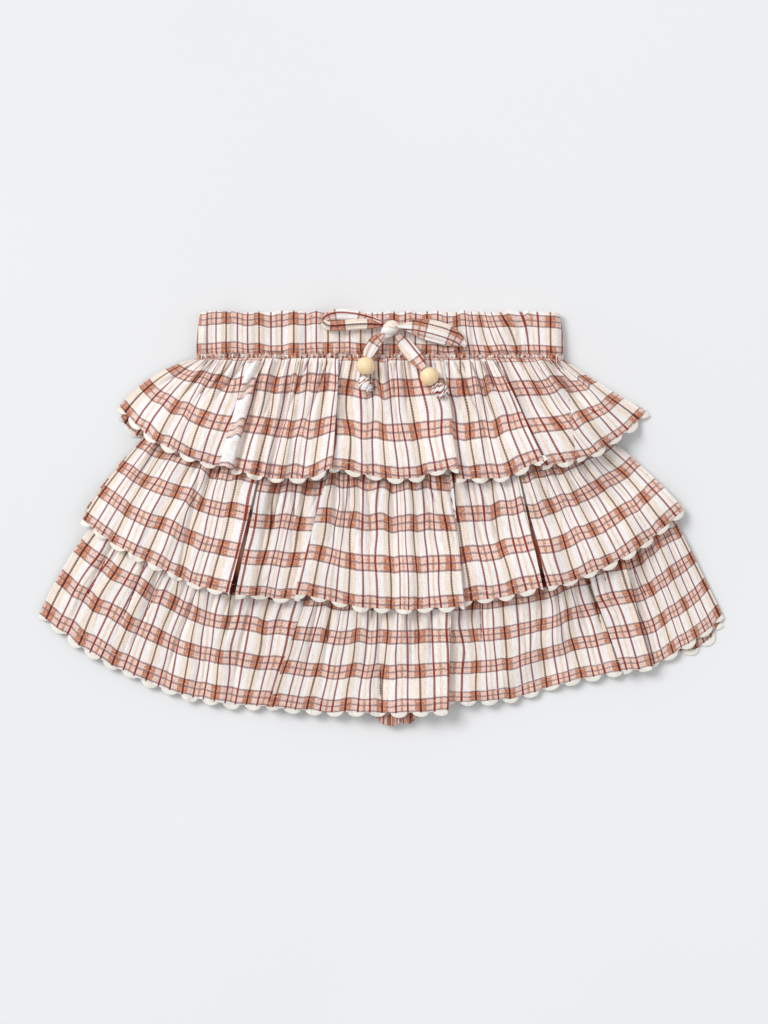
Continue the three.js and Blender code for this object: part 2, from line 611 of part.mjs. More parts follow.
addWaistband("waistband_front", { columns: 61, ribs: true, ribHeight: 0.9 });
const resting = laid.filtered(Surface.CELL, 0, Math.max, (value) => value);
const straps = laid.copy();
for (const bead of BEADS) addLump(bead.name, { ...bead, long: BEAD, wide: BEAD, tall: BEAD }, WOOD, 8, resting);
for (const knot of KNOTS) addLump(knot.name, knot, PLAID, 6, resting);
for (const [name, strap] of Object.entries(TIE)) addStrap(name, strap, straps);
group.position.set(-CENTRE[0], -CENTRE[1], 0);

export default group;
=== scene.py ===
"""Toddler's tiered ruffle skirt laid flat: the visual model, its studio and its camera.

Shapes are worked out in millimetres in the garment's own frame, where the waistband's top edge is
at y = WAIST_TOP, and placed in the row's frame in metres. Each layer is draped over those under it.
"""

import bpy
import numpy as np
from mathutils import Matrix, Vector


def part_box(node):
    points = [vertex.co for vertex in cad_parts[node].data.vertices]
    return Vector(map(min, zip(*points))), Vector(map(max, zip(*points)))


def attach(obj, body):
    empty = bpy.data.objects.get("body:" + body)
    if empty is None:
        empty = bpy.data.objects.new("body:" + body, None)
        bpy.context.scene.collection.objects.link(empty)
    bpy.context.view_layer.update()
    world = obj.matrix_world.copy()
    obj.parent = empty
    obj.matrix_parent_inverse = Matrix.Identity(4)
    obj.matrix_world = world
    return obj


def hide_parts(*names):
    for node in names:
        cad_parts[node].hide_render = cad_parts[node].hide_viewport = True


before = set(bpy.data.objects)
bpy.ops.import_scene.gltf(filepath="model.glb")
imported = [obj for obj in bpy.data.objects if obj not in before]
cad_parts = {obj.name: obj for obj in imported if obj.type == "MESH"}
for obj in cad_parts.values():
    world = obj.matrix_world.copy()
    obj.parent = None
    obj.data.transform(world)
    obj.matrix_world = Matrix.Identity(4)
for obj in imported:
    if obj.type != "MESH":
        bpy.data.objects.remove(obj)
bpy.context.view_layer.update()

# Sizes, in millimetres
CENTRE = np.array([0.4, 1.3, 0.0])
WAIST_TOP = 112.0
WAIST_DEPTH = 26.5
WAIST_HALF = 99.7
CASING = 3.5
LAYER = 1.35  # height that one gathered layer takes in the stack
HEM_LAYER = 0.5  # and a layer that lies on the table itself
SIDE_TO_SIDE = 290  # a ruffle's width, roughly
TUCKED = 1.4  # of a ruffle's gathered edge goes up into its seam
REPEAT = 20.7  # width of one repeat of the plaid
REPEAT_DOWN = 20  # its length on the straps and panels
WAIST_BANDS = (16.3, 5.4)  # its length on the casing, and the first dark band's height over the seam
SCALLOP = 11.6
TRIM_STEP = 0.45  # between the braid's columns of points
TRIM_ROWS = 8
ROLL_OPEN = 2.3  # radians to each side that a rolled fold turns
BEAD_RADIUS = 5.0
BEAD_HOLE = 1.7
STRAP_STEPS = 70
THREAD_RADIUS = 0.13
SEAM_GAP = 0.3  # between the two sides of the casing

# The photograph: millimetres to a pixel, its middle, and where the garment's axis and waist edge lie
PIXEL = 0.54
PHOTO_MIDDLE = (384, 512)
CENTRE_PX = 380.0
WAIST_PX = 311
REPEAT_PX = 33  # one repeat beyond the outermost dark lines

# The plaid's thin lines across a repeat, in shares of it: red, dark, red
LINES_AT = (0.157, 0.5, 0.843)

# Outline of each ruffle, as in the solids
RUFFLES = {
    "tier_1": dict(top=(-99, 99.2), top_y=85.2, top_corner_y=85.2, hem=(-141.5, 144.7), hem_y=22.6,
                   corner_y=(61.2, 57), power=3.7, bulge=(4.5, -0.8)),
    "tier_2": dict(top=(-120, 112), top_y=36, top_corner_y=50.5, hem=(-161, 164.7), hem_y=-46.5,
                   corner_y=(4.5, 3), power=2.8, bulge=(2.2, 2.4)),
    "tier_3": dict(top=(-144.5, 153.5), top_y=-30, top_corner_y=9.4, hem=(-184.7, 185.5), hem_y=-104.5,
                   corner_y=(-51, -49), power=2.7, bulge=(2.8, 0.4)),
}
BACK_SLIP = {
    "tier_1": dict(hem=(0.6, -1.5), corner_y=(-6.5, -1), hem_y=1.5),
    "tier_2": dict(hem=(1.5, -1.5), corner_y=(1, 1), hem_y=2.5),
    "tier_3": dict(hem=(1.5, -1), corner_y=(1, -9), hem_y=2.5),
}

# Folds: kind, x at the waist end, x at the hem, height, half width or reach,
# and the share of the drop where it starts
FRONT_FOLDS = {
    "tier_1": [
        ("ridge", -93, -121, 1.6, 5, 0.1), ("valley", -88, -106, 1.2, 4, 0),
        ("roll", -67, -82.5, 4.4, 4.4, 0), ("valley", -61.5, -75.5, 2.4, 1.6, 0),
        ("ridge", -57, -69, 1.4, 3, 0), ("valley", -53.5, -65, 2.2, 1.2, 0), ("ridge", -50, -62, 1.8, 2.5, 0),
        ("valley", -47, -59.5, 3.2, 1.3, 0), ("ridge", -43, -52, 1.4, 3, 0),
        ("over_right", -22, -26, 3.2, 14, 0), ("ridge", -8, -8, 1.2, 5, 0.1),
        ("valley", 13, 24, 1.8, 3.5, 0), ("over_right", 34, 42, 3.6, 14, 0),
        ("ridge", 50, 55, 1.2, 4, 0), ("over_right", 62, 88, 3.2, 13, 0),
        ("over_left", 99, 105.5, 3.0, 12, 0.45), ("ridge", 97, 133, 1.4, 5, 0.2),
    ],
    "tier_2": [
        ("ridge", -100, -134, 1.4, 4, 0), ("ridge", -88, -120, 1.4, 6, 0),
        ("slit", -61, -79.2, 3.6, 1.5, 0), ("valley", -93, -108, 2.0, 1.2, 0),
        ("ridge", -54, -68, 1.8, 6, 0), ("over_left", -24, -45.5, 3.2, 22, 0),
        ("ridge", -8, -10, 1.2, 4, 0), ("valley", 8, 7, 1.4, 3, 0),
        ("ridge", 15, 16, 1.6, 6, 0), ("over_right", 37, 45, 3.0, 20, 0),
        ("slit", 71, 88.5, 3.0, 1.1, 0), ("ridge", 78, 97, 1.6, 6, 0), ("ridge", 100, 142, 1.8, 6, 0.1),
    ],
    "tier_3": [
        ("ridge", -112, -150, 1.0, 12, 0), ("ridge", -93, -104, 1.0, 4, 0),
        ("ridge", -80, -87, 1.4, 6, 0), ("over_left", -34, -60, 3.2, 24, 0),
        ("valley", 3, 0, 1.0, 4, 0), ("ridge", 20, 22, 1.0, 8, 0),
        ("over_right", 38.5, 36.5, 3.6, 22, 0), ("valley", 84, 90, 1.2, 4, 0),
        ("ridge", 92, 100, 1.2, 8, 0), ("over_right", 127, 147, 3.6, 10, 0),
        ("over_left", 106, 131.5, 2.8, 8, 0.15),
    ],
}
BACK_FOLDS = {
    "tier_1": [("ridge", x, x * 1.37, 0.6, 7, 0) for x in (-70, -38, -6, 28, 66)],
    "tier_2": [("ridge", x, x * 1.4, 0.6, 7, 0) for x in (-84, -44, 0, 40, 80)],
    "tier_3": [("ridge", x, x * 1.3, 0.6, 8, 0) for x in (-104, -58, -8, 46, 98)],
}

# Where the plaid's dark line meets each hem: pixel across the photograph, number of the repeat
DARK_LINES = {
    "tier_1": [(124, 0), (157, 1), (190, 2), (224, 3), (257, 4), (281, 5), (328, 6.45), (335, 6.65),
               (386, 8), (423, 9), (456.5, 9.9), (458, 10.4), (476, 11), (511, 12), (541, 12.8),
               (543, 13.2), (577, 14), (606, 15), (640, 16)],
    "tier_2": [(84, 0), (112, 1), (146, 2), (180, 3), (211, 4), (257, 5), (283, 6), (295, 6.35),
               (297, 6.6), (312, 7), (349, 8), (391, 9), (418, 10), (453, 11), (462, 11.3),
               (464, 11.7), (473, 12), (513, 13), (543, 13.8), (545, 14.2), (575, 15), (608, 16),
               (640, 17), (665, 18)],
    "tier_3": [(45, 0), (77.5, 1), (111, 2), (145, 3), (181, 4), (214, 5), (246, 6), (274, 7),
               (306, 8), (345, 9), (382.5, 10), (421, 11), (447, 11.68), (448.5, 12.3), (476, 13),
               (511, 14), (547.5, 15), (582.5, 16), (617.5, 17), (650, 18), (674, 19), (698, 20),
               (721, 21)],
}
# Height of the plaid's cross bands on each ruffle: millimetres to a repeat, hem to the first band's middle
BANDS = {"tier_1": (22, 1.6), "tier_2": (20.9, 2.4), "tier_3": (19.05, 4.5)}

# Each front hem as seen: pixels across and down. Two places close together are the two sides of a pleat
HEMS = {
    "tier_1": [(118, 406), (130, 418), (140, 428), (150, 437), (160, 444), (180, 453), (200, 462),
               (215, 466), (227, 466), (229, 468), (245, 473), (262, 477), (280, 479), (305, 479),
               (315, 476), (324, 471), (334, 468), (336, 469), (345, 470), (360, 474), (380, 477),
               (400, 479), (418, 478), (432, 473), (445, 470), (456.5, 469), (458.5, 478), (480, 479),
               (500, 478), (512, 475), (525, 468), (540, 460), (543, 466), (560, 464), (575, 460),
               (590, 455), (600, 449), (612, 441), (625, 433), (636, 423), (648, 411)],
    "tier_2": [(82, 519), (100, 534), (120, 547), (140, 557), (160, 567), (180, 577), (200, 586),
               (218, 590), (232, 592), (236, 593), (260, 596), (280, 598), (293, 598), (296, 593),
               (312, 595), (330, 600), (355, 605), (380, 608), (410, 609), (440, 607), (462.5, 605),
               (464.5, 601), (480, 600), (500, 597), (520, 592), (543, 586), (545, 587), (560, 584),
               (575, 579), (590, 573), (605, 566), (620, 558), (635, 549), (650, 538), (665, 526),
               (684, 510)],
    "tier_3": [(38, 614), (50, 624), (75, 643), (90, 653), (110, 665), (130, 675), (150, 684),
               (170, 691), (190, 698), (210, 702), (250, 706), (270, 707), (273, 707), (300, 710),
               (330, 712.5), (380, 713), (420, 712), (447.5, 710), (449.5, 702), (480, 701), (510, 699),
               (540, 691), (560, 685), (580, 680), (600, 675), (620, 671), (640, 669), (655, 666),
               (665, 660), (680, 650), (700, 637), (712, 628), (723, 615)],
}

# The back hems that hang lower than the front at a corner
HEMS["tier_3_back"] = [
    (38, 612), (90, 650), (150, 680), (210, 698), (270, 703), (330, 708), (380, 709), (446, 706),
    (452, 698), (510, 695), (560, 681), (620, 667), (655, 661), (680, 653), (697, 650), (712, 640),
    (724, 620)]
HEMS["tier_1_back"] = [
    (112, 407), (119, 417), (127, 428), (137, 437), (150, 438), (160, 441), (180, 449), (200, 457),
    (230, 462), (280, 473), (330, 465), (380, 472), (456, 465), (500, 475), (520, 476), (538, 471),
    (556, 461), (575, 454), (600, 444), (625, 428), (648, 406)]

# Panels under the ruffles: sections down the garment, each its y and its left and right x
YOKE = [(84.9, -86, 86), (40, -102, 100), (0, -116, 120), (-26, -122, 130)]
BLOOMERS = [(84.9, -80, 80), (30, -90, 92), (-30, -98, 102), (-60, -82, 92), (-86, -44, 58),
            (-103, -6, 24), (-111.4, 1.5, 16)]

# Where the plaid's dark line meets the waist edge: pixel across the photograph, number of the repeat
WAIST_LINES = [(197, 0), (226, 1), (259, 2), (294, 3), (328, 4), (361, 5), (394, 6), (427, 7), (460, 8),
               (493, 9), (519, 10), (551, 11), (584, 12)]


def smooth(x, low, high):
    t = np.clip((np.asarray(x, float) - low) / (high - low), 0, 1)
    return t * t * (3 - 2 * t)


def mix(a, b, t):
    return a + (b - a) * t


def stacked(*parts):
    """Coordinates brought to one shape and put side by side in a last axis."""
    return np.stack(np.broadcast_arrays(*parts), axis=-1)


def noise(u, v, size_u, size_v, seed):
    """Smooth noise from -1 to 1, in blobs of the given size."""
    table = np.random.default_rng(seed).uniform(-1, 1, (256, 256))
    a, b = np.broadcast_arrays(np.asarray(u, float) / size_u, np.asarray(v, float) / size_v)
    i, j = np.floor(a).astype(int), np.floor(b).astype(int)
    s, t = smooth(a - i, 0, 1), smooth(b - j, 0, 1)

    def at(di, dj):
        return table[(i + di) % 256, (j + dj) % 256]

    return mix(mix(at(0, 0), at(1, 0), s), mix(at(0, 1), at(1, 1), s), t)


class Surface:
    """The highest cloth laid so far, on a 1 mm grid over the table."""

    HALF_X, HALF_Y = 208, 128

    def __init__(self, heights=None):
        self.z = np.zeros((2 * self.HALF_X + 1, 2 * self.HALF_Y + 1)) if heights is None else heights

    def cover(self, grid):
        for part in (0, 1 / 3, 2 / 3):
            rows = mix(grid[:, :-1], grid[:, 1:], part)
            for step in (0, 0.5):
                points = mix(rows[:-1], rows[1:], step)
                i = np.rint(points[..., 0] + self.HALF_X).astype(int).clip(0, 2 * self.HALF_X)
                j = np.rint(points[..., 1] + self.HALF_Y).astype(int).clip(0, 2 * self.HALF_Y)
                np.maximum.at(self.z, (i, j), points[..., 2])

    def copy(self):
        return Surface(self.z.copy())

    def drape(self, stretch, softness):
        """The smooth surface that a cloth laid on all this takes."""
        z = self.z
        for axis in (0, 1):
            z = np.max([np.roll(z, k, axis) for k in range(-stretch, stretch + 1)], axis=0)
        for axis in (0, 1):
            z = np.mean([np.roll(z, k, axis) for k in range(-softness, softness + 1)], axis=0)
            z = np.mean([np.roll(z, k, axis) for k in (-2, 0, 2)], axis=0)
        return Surface(z)

    def height(self, x, y):
        a = np.clip(np.asarray(x) + self.HALF_X, 0, 2 * self.HALF_X - 0.001)
        b = np.clip(np.asarray(y) + self.HALF_Y, 0, 2 * self.HALF_Y - 0.001)
        i, j = np.floor(a).astype(int), np.floor(b).astype(int)
        s, t = a - i, b - j
        return mix(mix(self.z[i, j], self.z[i + 1, j], s), mix(self.z[i, j + 1], self.z[i + 1, j + 1], s), t)


laid = Surface()


def linear(*rgb):
    """A colour given as 0 to 255 on screen, as shares of light."""
    c = np.array(rgb) / 255
    return tuple(np.where(c < 0.04045, c / 12.92, ((c + 0.055) / 1.055) ** 2.4)) + (1.0,)


class Look:
    """A material and short calls for its nodes."""

    def __init__(self, name, roughness):
        self.material = bpy.data.materials.new(name)
        self.material.use_nodes = True
        self.tree = self.material.node_tree
        self.shader = self.tree.nodes["Principled BSDF"]
        self.shader.inputs["Roughness"].default_value = roughness

    def put(self, socket, value):
        if isinstance(value, bpy.types.NodeSocket):
            self.tree.links.new(value, socket)
        else:
            socket.default_value = value

    def math(self, operation, *values):
        node = self.tree.nodes.new("ShaderNodeMath")
        node.operation = operation
        for socket, value in zip(node.inputs, values):
            self.put(socket, value)
        return node.outputs[0]

    def ramp(self, factor, stops, ease="LINEAR"):
        node = self.tree.nodes.new("ShaderNodeValToRGB")
        node.color_ramp.interpolation = ease
        elements = node.color_ramp.elements
        for k, (place, colour) in enumerate(stops):
            element = elements[k] if k < 2 else elements.new(place)
            element.position = place
            element.color = colour if isinstance(colour, tuple) else (colour, colour, colour, 1)
        self.put(node.inputs["Fac"], factor)
        return node.outputs["Color"]

    def blend(self, factor, a, b, kind="MIX"):
        node = self.tree.nodes.new("ShaderNodeMix")
        node.data_type = "RGBA"
        node.blend_type = kind
        self.put(node.inputs["Factor"], factor)
        self.put(node.inputs[6], a)
        self.put(node.inputs[7], b)
        return node.outputs[2]

    def vector(self, x, y, z=0.0):
        node = self.tree.nodes.new("ShaderNodeCombineXYZ")
        for socket, value in zip(node.inputs, (x, y, z)):
            self.put(socket, value)
        return node.outputs[0]

    def noise(self, vector, scale, detail=2.0, rough=0.5):
        node = self.tree.nodes.new("ShaderNodeTexNoise")
        self.put(node.inputs["Vector"], vector)
        node.inputs["Scale"].default_value = scale
        node.inputs["Detail"].default_value = detail
        node.inputs["Roughness"].default_value = rough
        return node.outputs["Fac"]

    def grain(self, u, v, per_u, per_v, scale=1.0, detail=2.0, rough=0.5):
        """Noise with so many blobs across and along one unit of the coordinates."""
        stretched = self.vector(self.math("MULTIPLY", u, per_u), self.math("MULTIPLY", v, per_v))
        return self.noise(stretched, scale, detail, rough)

    def coordinates(self, source="UV"):
        node = self.tree.nodes.new("ShaderNodeTexCoord")
        split = self.tree.nodes.new("ShaderNodeSeparateXYZ")
        self.tree.links.new(node.outputs[source], split.inputs[0])
        return node.outputs[source], split.outputs[0], split.outputs[1]

    def bump(self, height, strength, distance):
        node = self.tree.nodes.new("ShaderNodeBump")
        node.inputs["Strength"].default_value = strength
        node.inputs["Distance"].default_value = distance
        self.put(node.inputs["Height"], height)
        self.tree.links.new(node.outputs[0], self.shader.inputs["Normal"])


def stripes(*rows, ground):
    """Ramp stops for stripes on a ground: each row is middle, half width, soft edge and colour."""
    stops = [(0.0, ground)]
    for middle, half, soft, colour in rows:
        stops += [(middle - half - soft, ground), (middle - half, colour), (middle + half, colour),
                  (middle + half + soft, ground)]
    return stops + [(1.0, ground)]


def thin_lines(middles, half, soft):
    """Ramp stops that are one on thin lines of the same width."""
    return stripes(*((middle, half, soft, 1.0) for middle in middles), ground=0.0)


def plaid():
    """Yarn-dyed plaid. Its coordinates count the repeats, with the dark line and the band at halves."""
    look = Look("plaid_cotton", 0.92)
    white, beige, gold = linear(252, 253, 255), linear(249, 231, 213), linear(247, 220, 195)
    band_white, band_beige, band_gold = linear(241, 214, 205), linear(200, 125, 85), linear(209, 140, 97)
    _, u, v = look.coordinates()
    streak = look.grain(u, v, 30.0, 0.6, rough=0.6)
    ragged = look.math("MULTIPLY_ADD", streak, 0.034, -0.017)
    uneven = look.grain(u, v, 22.0, 9.0, rough=0.6)
    across = look.math("FRACT", u)
    along = look.math("FRACT", look.math("ADD", v, look.math("MULTIPLY_ADD", uneven, 0.04, -0.02)))
    stripe_at = look.math("ADD", across, ragged)
    open_cloth = look.ramp(stripe_at, stripes(
        (0.0, 0.022, 0.02, gold), (0.5, 0.15, 0.03, beige), (1.0, 0.022, 0.02, gold), ground=white)[2:-2])
    banded = look.ramp(stripe_at, stripes(
        (0.0, 0.022, 0.02, band_gold), (0.5, 0.14, 0.03, band_beige), (1.0, 0.022, 0.02, band_gold),
        ground=band_white)[2:-2])
    fine = look.grain(u, v, 44.0, 1.2, detail=1.0)
    open_cloth = look.blend(look.ramp(fine, [(0.5, 0.0), (0.62, 0.55)]), open_cloth, white)
    band = look.ramp(along, [(0.0, 0.0), (0.292, 0.0), (0.306, 1.0), (0.694, 1.0), (0.708, 0.0), (1.0, 0.0)])
    colour = look.blend(band, open_cloth, banded)
    threads = look.grain(u, v, 27.0, 25.0, detail=1.0)
    colour = look.blend(look.ramp(threads, [(0.5, 0.0), (0.62, 0.36)]), colour, linear(252, 243, 238))
    thick = look.blend(band, linear(230, 212, 198), linear(180, 103, 65))
    colour = look.blend(look.ramp(threads, [(0.38, 0.36), (0.5, 0.0)]), colour, thick)
    grey = look.ramp(along, thin_lines((0.314, 0.5, 0.686), 0.018, 0.014))
    knots = look.math("SINE", look.math("MULTIPLY", u, 100.0))
    grey = look.math("MULTIPLY", grey, look.math("MULTIPLY_ADD", knots, 0.14, 0.7))
    colour = look.blend(grey, colour, linear(126, 108, 116))
    beat = look.math("SINE", look.math("MULTIPLY", v, 94.0))
    left_red, middle_dark, right_red = LINES_AT
    red = look.ramp(across, thin_lines((left_red, right_red), 0.020, 0.010))
    dark = look.ramp(across, thin_lines((middle_dark,), 0.021, 0.010))
    red_seen = look.math("MAXIMUM", look.math("MULTIPLY_ADD", beat, 0.12, 0.88), band)
    dark_seen = look.math("MAXIMUM", look.math("MULTIPLY_ADD", beat, 0.17, 0.79), band)
    colour = look.blend(look.math("MULTIPLY", red, red_seen), colour, linear(146, 42, 0))
    dark_tone = look.blend(band, linear(64, 22, 16), linear(98, 22, 4))
    colour = look.blend(look.math("MULTIPLY", dark, dark_seen), colour, dark_tone)
    yarn = look.grain(u, v, 36.0, 5.0, detail=3.0, rough=0.7)
    tint = look.ramp(yarn, [(0.34, linear(242, 228, 218)), (0.56, (1.0, 1.0, 1.0, 1.0))])
    look.put(look.shader.inputs["Base Color"], look.blend(0.8, colour, tint, "MULTIPLY"))
    weave = look.grain(u, v, 34.0, 16.0, scale=1.6, detail=4.0, rough=0.65)
    look.bump(look.math("ADD", yarn, look.math("MULTIPLY", weave, 0.8)), 0.55, 0.0004)
    look.shader.inputs["Sheen Weight"].default_value = 0.12
    look.shader.inputs["Sheen Roughness"].default_value = 0.6
    return look.material


def braid(name, colour, shade):
    """Cotton braid or thread, with its fine rib across."""
    look = Look(name, 0.9)
    _, u, v = look.coordinates()
    rib = look.math("SINE", look.math("MULTIPLY", u, 9.0))
    fuzz = look.noise(look.vector(u, v), 2.2, 3.0)
    tint = look.ramp(fuzz, [(0.3, shade), (0.7, colour)])
    look.put(look.shader.inputs["Base Color"], tint)
    look.bump(look.math("ADD", look.math("MULTIPLY", rib, 0.3), fuzz), 0.5, 0.0004)
    return look.material


def wood():
    """Pale lacquered wood with its grain along the bead."""
    look = Look("bead_wood", 0.42)
    _, x, y = look.coordinates("Object")
    grain = look.grain(x, y, 900.0, 160.0, detail=3.0)
    look.put(look.shader.inputs["Base Color"], look.ramp(grain, [
        (0.25, linear(250, 214, 164)), (0.6, linear(254, 228, 186)), (0.85, linear(255, 238, 206))]))
    look.put(look.shader.inputs["Roughness"], look.math("MULTIPLY_ADD", grain, 0.2, 0.34))
    look.bump(grain, 0.15, 0.0002)
    return look.material


PLAID = plaid()
CREAM = braid("rickrack", linear(254, 250, 242), linear(248, 240, 227))
THREAD = braid("thread", linear(240, 236, 232), linear(214, 206, 200))
WOOD = wood()


def place(points):
    return (np.asarray(points, float).reshape(-1, 3) - CENTRE) * 0.001


def add_mesh(name, points, faces, uv, material, replaces=(), slot="plaid_cotton"):
    """A smooth mesh of quads from points in millimetres, with a cloth coordinate for each point."""
    mesh = bpy.data.meshes.new(name)
    faces = np.asarray(faces)
    mesh.vertices.add(len(points))
    mesh.vertices.foreach_set("co", place(points).ravel())
    mesh.loops.add(faces.size)
    mesh.loops.foreach_set("vertex_index", faces.ravel())
    mesh.polygons.add(len(faces))
    mesh.polygons.foreach_set("loop_start", np.arange(0, faces.size, faces.shape[1]))
    mesh.update(calc_edges=True)
    layer = mesh.uv_layers.new(name="cloth")
    layer.data.foreach_set("uv", np.asarray(uv, float)[faces.ravel()].ravel())
    mesh.polygons.foreach_set("use_smooth", np.ones(len(faces), bool))
    mesh.materials.append(material)
    mesh.validate()
    piece = bpy.data.objects.new(f"{name}_cloth", mesh)
    bpy.context.scene.collection.objects.link(piece)
    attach(piece, "root")
    if replaces:
        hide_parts(*replaces)


def grid_faces(columns, rows, ring=False):
    i, j = np.meshgrid(np.arange(columns - (0 if ring else 1)), np.arange(rows - 1), indexing="ij")
    i, j, n = i.ravel(), j.ravel(), (np.arange(columns) + 1) % columns
    return np.stack([i * rows + j, i * rows + j + 1, n[i] * rows + j + 1, n[i] * rows + j], axis=1)


def add_sheet(name, grid, uv, material, **about):
    faces = grid_faces(*grid.shape[:2])
    add_mesh(name, grid.reshape(-1, 3), faces, uv.reshape(-1, 2), material, **about)


def fold_shapes(folds, x, drop):
    """What the folds do to the cloth: how far it rises, how far it moves aside and how much it sinks."""
    lift, aside, sink = np.zeros_like(x), np.zeros_like(x), np.zeros_like(x)
    for kind, top, hem, tall, wide, start in folds:
        side = x - mix(top, hem, drop)
        strength = smooth(drop, start - 0.15, start + 0.35)
        if kind == "ridge":
            lift += tall * strength * np.exp(-((side / np.where(side > 0, wide * 0.55, wide)) ** 2))
        elif kind == "valley":
            lift -= tall * strength * np.exp(-((side / wide) ** 2))
        elif kind == "roll":
            turn = np.clip(side / wide, -1, 1) * ROLL_OPEN
            lift += tall * strength * (np.cos(turn) - np.cos(ROLL_OPEN)) / (1 - np.cos(ROLL_OPEN))
            ease = 1 - smooth(np.abs(side), wide, 4 * wide)
            drawn = (0.85 * np.sin(ROLL_OPEN) - 1) * wide * np.sign(side) * ease
            aside += strength * np.where(np.abs(side) < wide, 0.85 * wide * np.sin(turn) - side, drawn)
        elif kind == "slit":
            gap = wide * (0.1 + 0.9 * drop)
            off = np.abs(side)
            lips = np.where(off < 2, gap + 1.5 * (2 - off), gap + (off - 2) * (12 - gap) / 10)
            under = np.where(off < 1, off * (gap + 1.5), lips)
            lift += tall * strength * np.exp(-np.maximum(off - 2, 0) / 9)
            aside += strength * np.where(off < 12, np.sign(side) * under - side, 0)
            sink += strength * (1 - np.interp(off, [1, 2], [0, 1]))
        else:
            inward = -side if kind == "over_right" else side
            up = np.interp(inward, [-0.4, 0.6], [0, 1])
            lift += tall * strength * up * np.exp(-np.maximum(inward, 0) / wide)
            moved = np.interp(inward, [-10, -0.4, 0.6, 8], [0, 2.1, -1.1, 0])
            aside += strength * moved * (-1 if kind == "over_right" else 1)
    return lift, aside, np.clip(sink, 0, 1)


def wrinkles(u, v, number, seed):
    """Short shallow creases, most of them running with the warp."""
    rng = np.random.default_rng(seed)
    total = np.zeros_like(u)
    for _ in range(number):
        middle_u, middle_v = rng.uniform(u.min(), u.max()), rng.uniform(0, v.max())
        long, wide, slant = rng.uniform(4, 13), rng.uniform(0.4, 1.1), rng.normal(0, 0.22)
        side = u - middle_u - slant * (v - middle_v)
        tall = rng.uniform(0.15, 0.55) * rng.choice([-1, -1, 1])
        total += tall * np.exp(-((side / wide) ** 2) - ((v - middle_v) / long) ** 2)
    return total


def gather_creases(x, drop, half, pitch, depth, length, seed):
    """How deep the seam's gathers cut, how far they draw the cloth in, and the plaid line some hold."""
    rng = np.random.default_rng(seed)
    total, drawn, held = np.zeros_like(x), np.zeros_like(x), np.zeros_like(x)
    middle = -half
    while middle < half:
        middle += pitch * rng.uniform(0.35, 1.65)
        wide = rng.uniform(0.4, 1.0)
        deep = depth * rng.uniform(0.35, 1.0)
        reach = length * rng.uniform(0.2, 1.0) ** 1.3
        slant = rng.normal(0, 2.2)
        bend = rng.normal(0, 1.2)
        side = x - middle - slant * drop - bend * np.sin(3 * drop)
        fade = smooth(drop, 0, 0.05) * (1 - smooth(drop, reach * 0.35, reach + 0.08))
        total += deep * np.exp(-((np.abs(side) / (wide * (1 + 1.5 * drop))) ** 1.1)) * fade
        drawn += 0.13 * deep * np.tanh(side / wide) * np.exp(-np.abs(side) / 5.5) * fade
        line = rng.choice([0, *LINES_AT])
        holds = (np.abs(side) < 0.22 * wide + 0.14) & (deep * fade > 0.3 * depth) & (drop > 0.03)
        held = np.where(holds, line, held)
    return np.minimum(total, depth), drawn, held


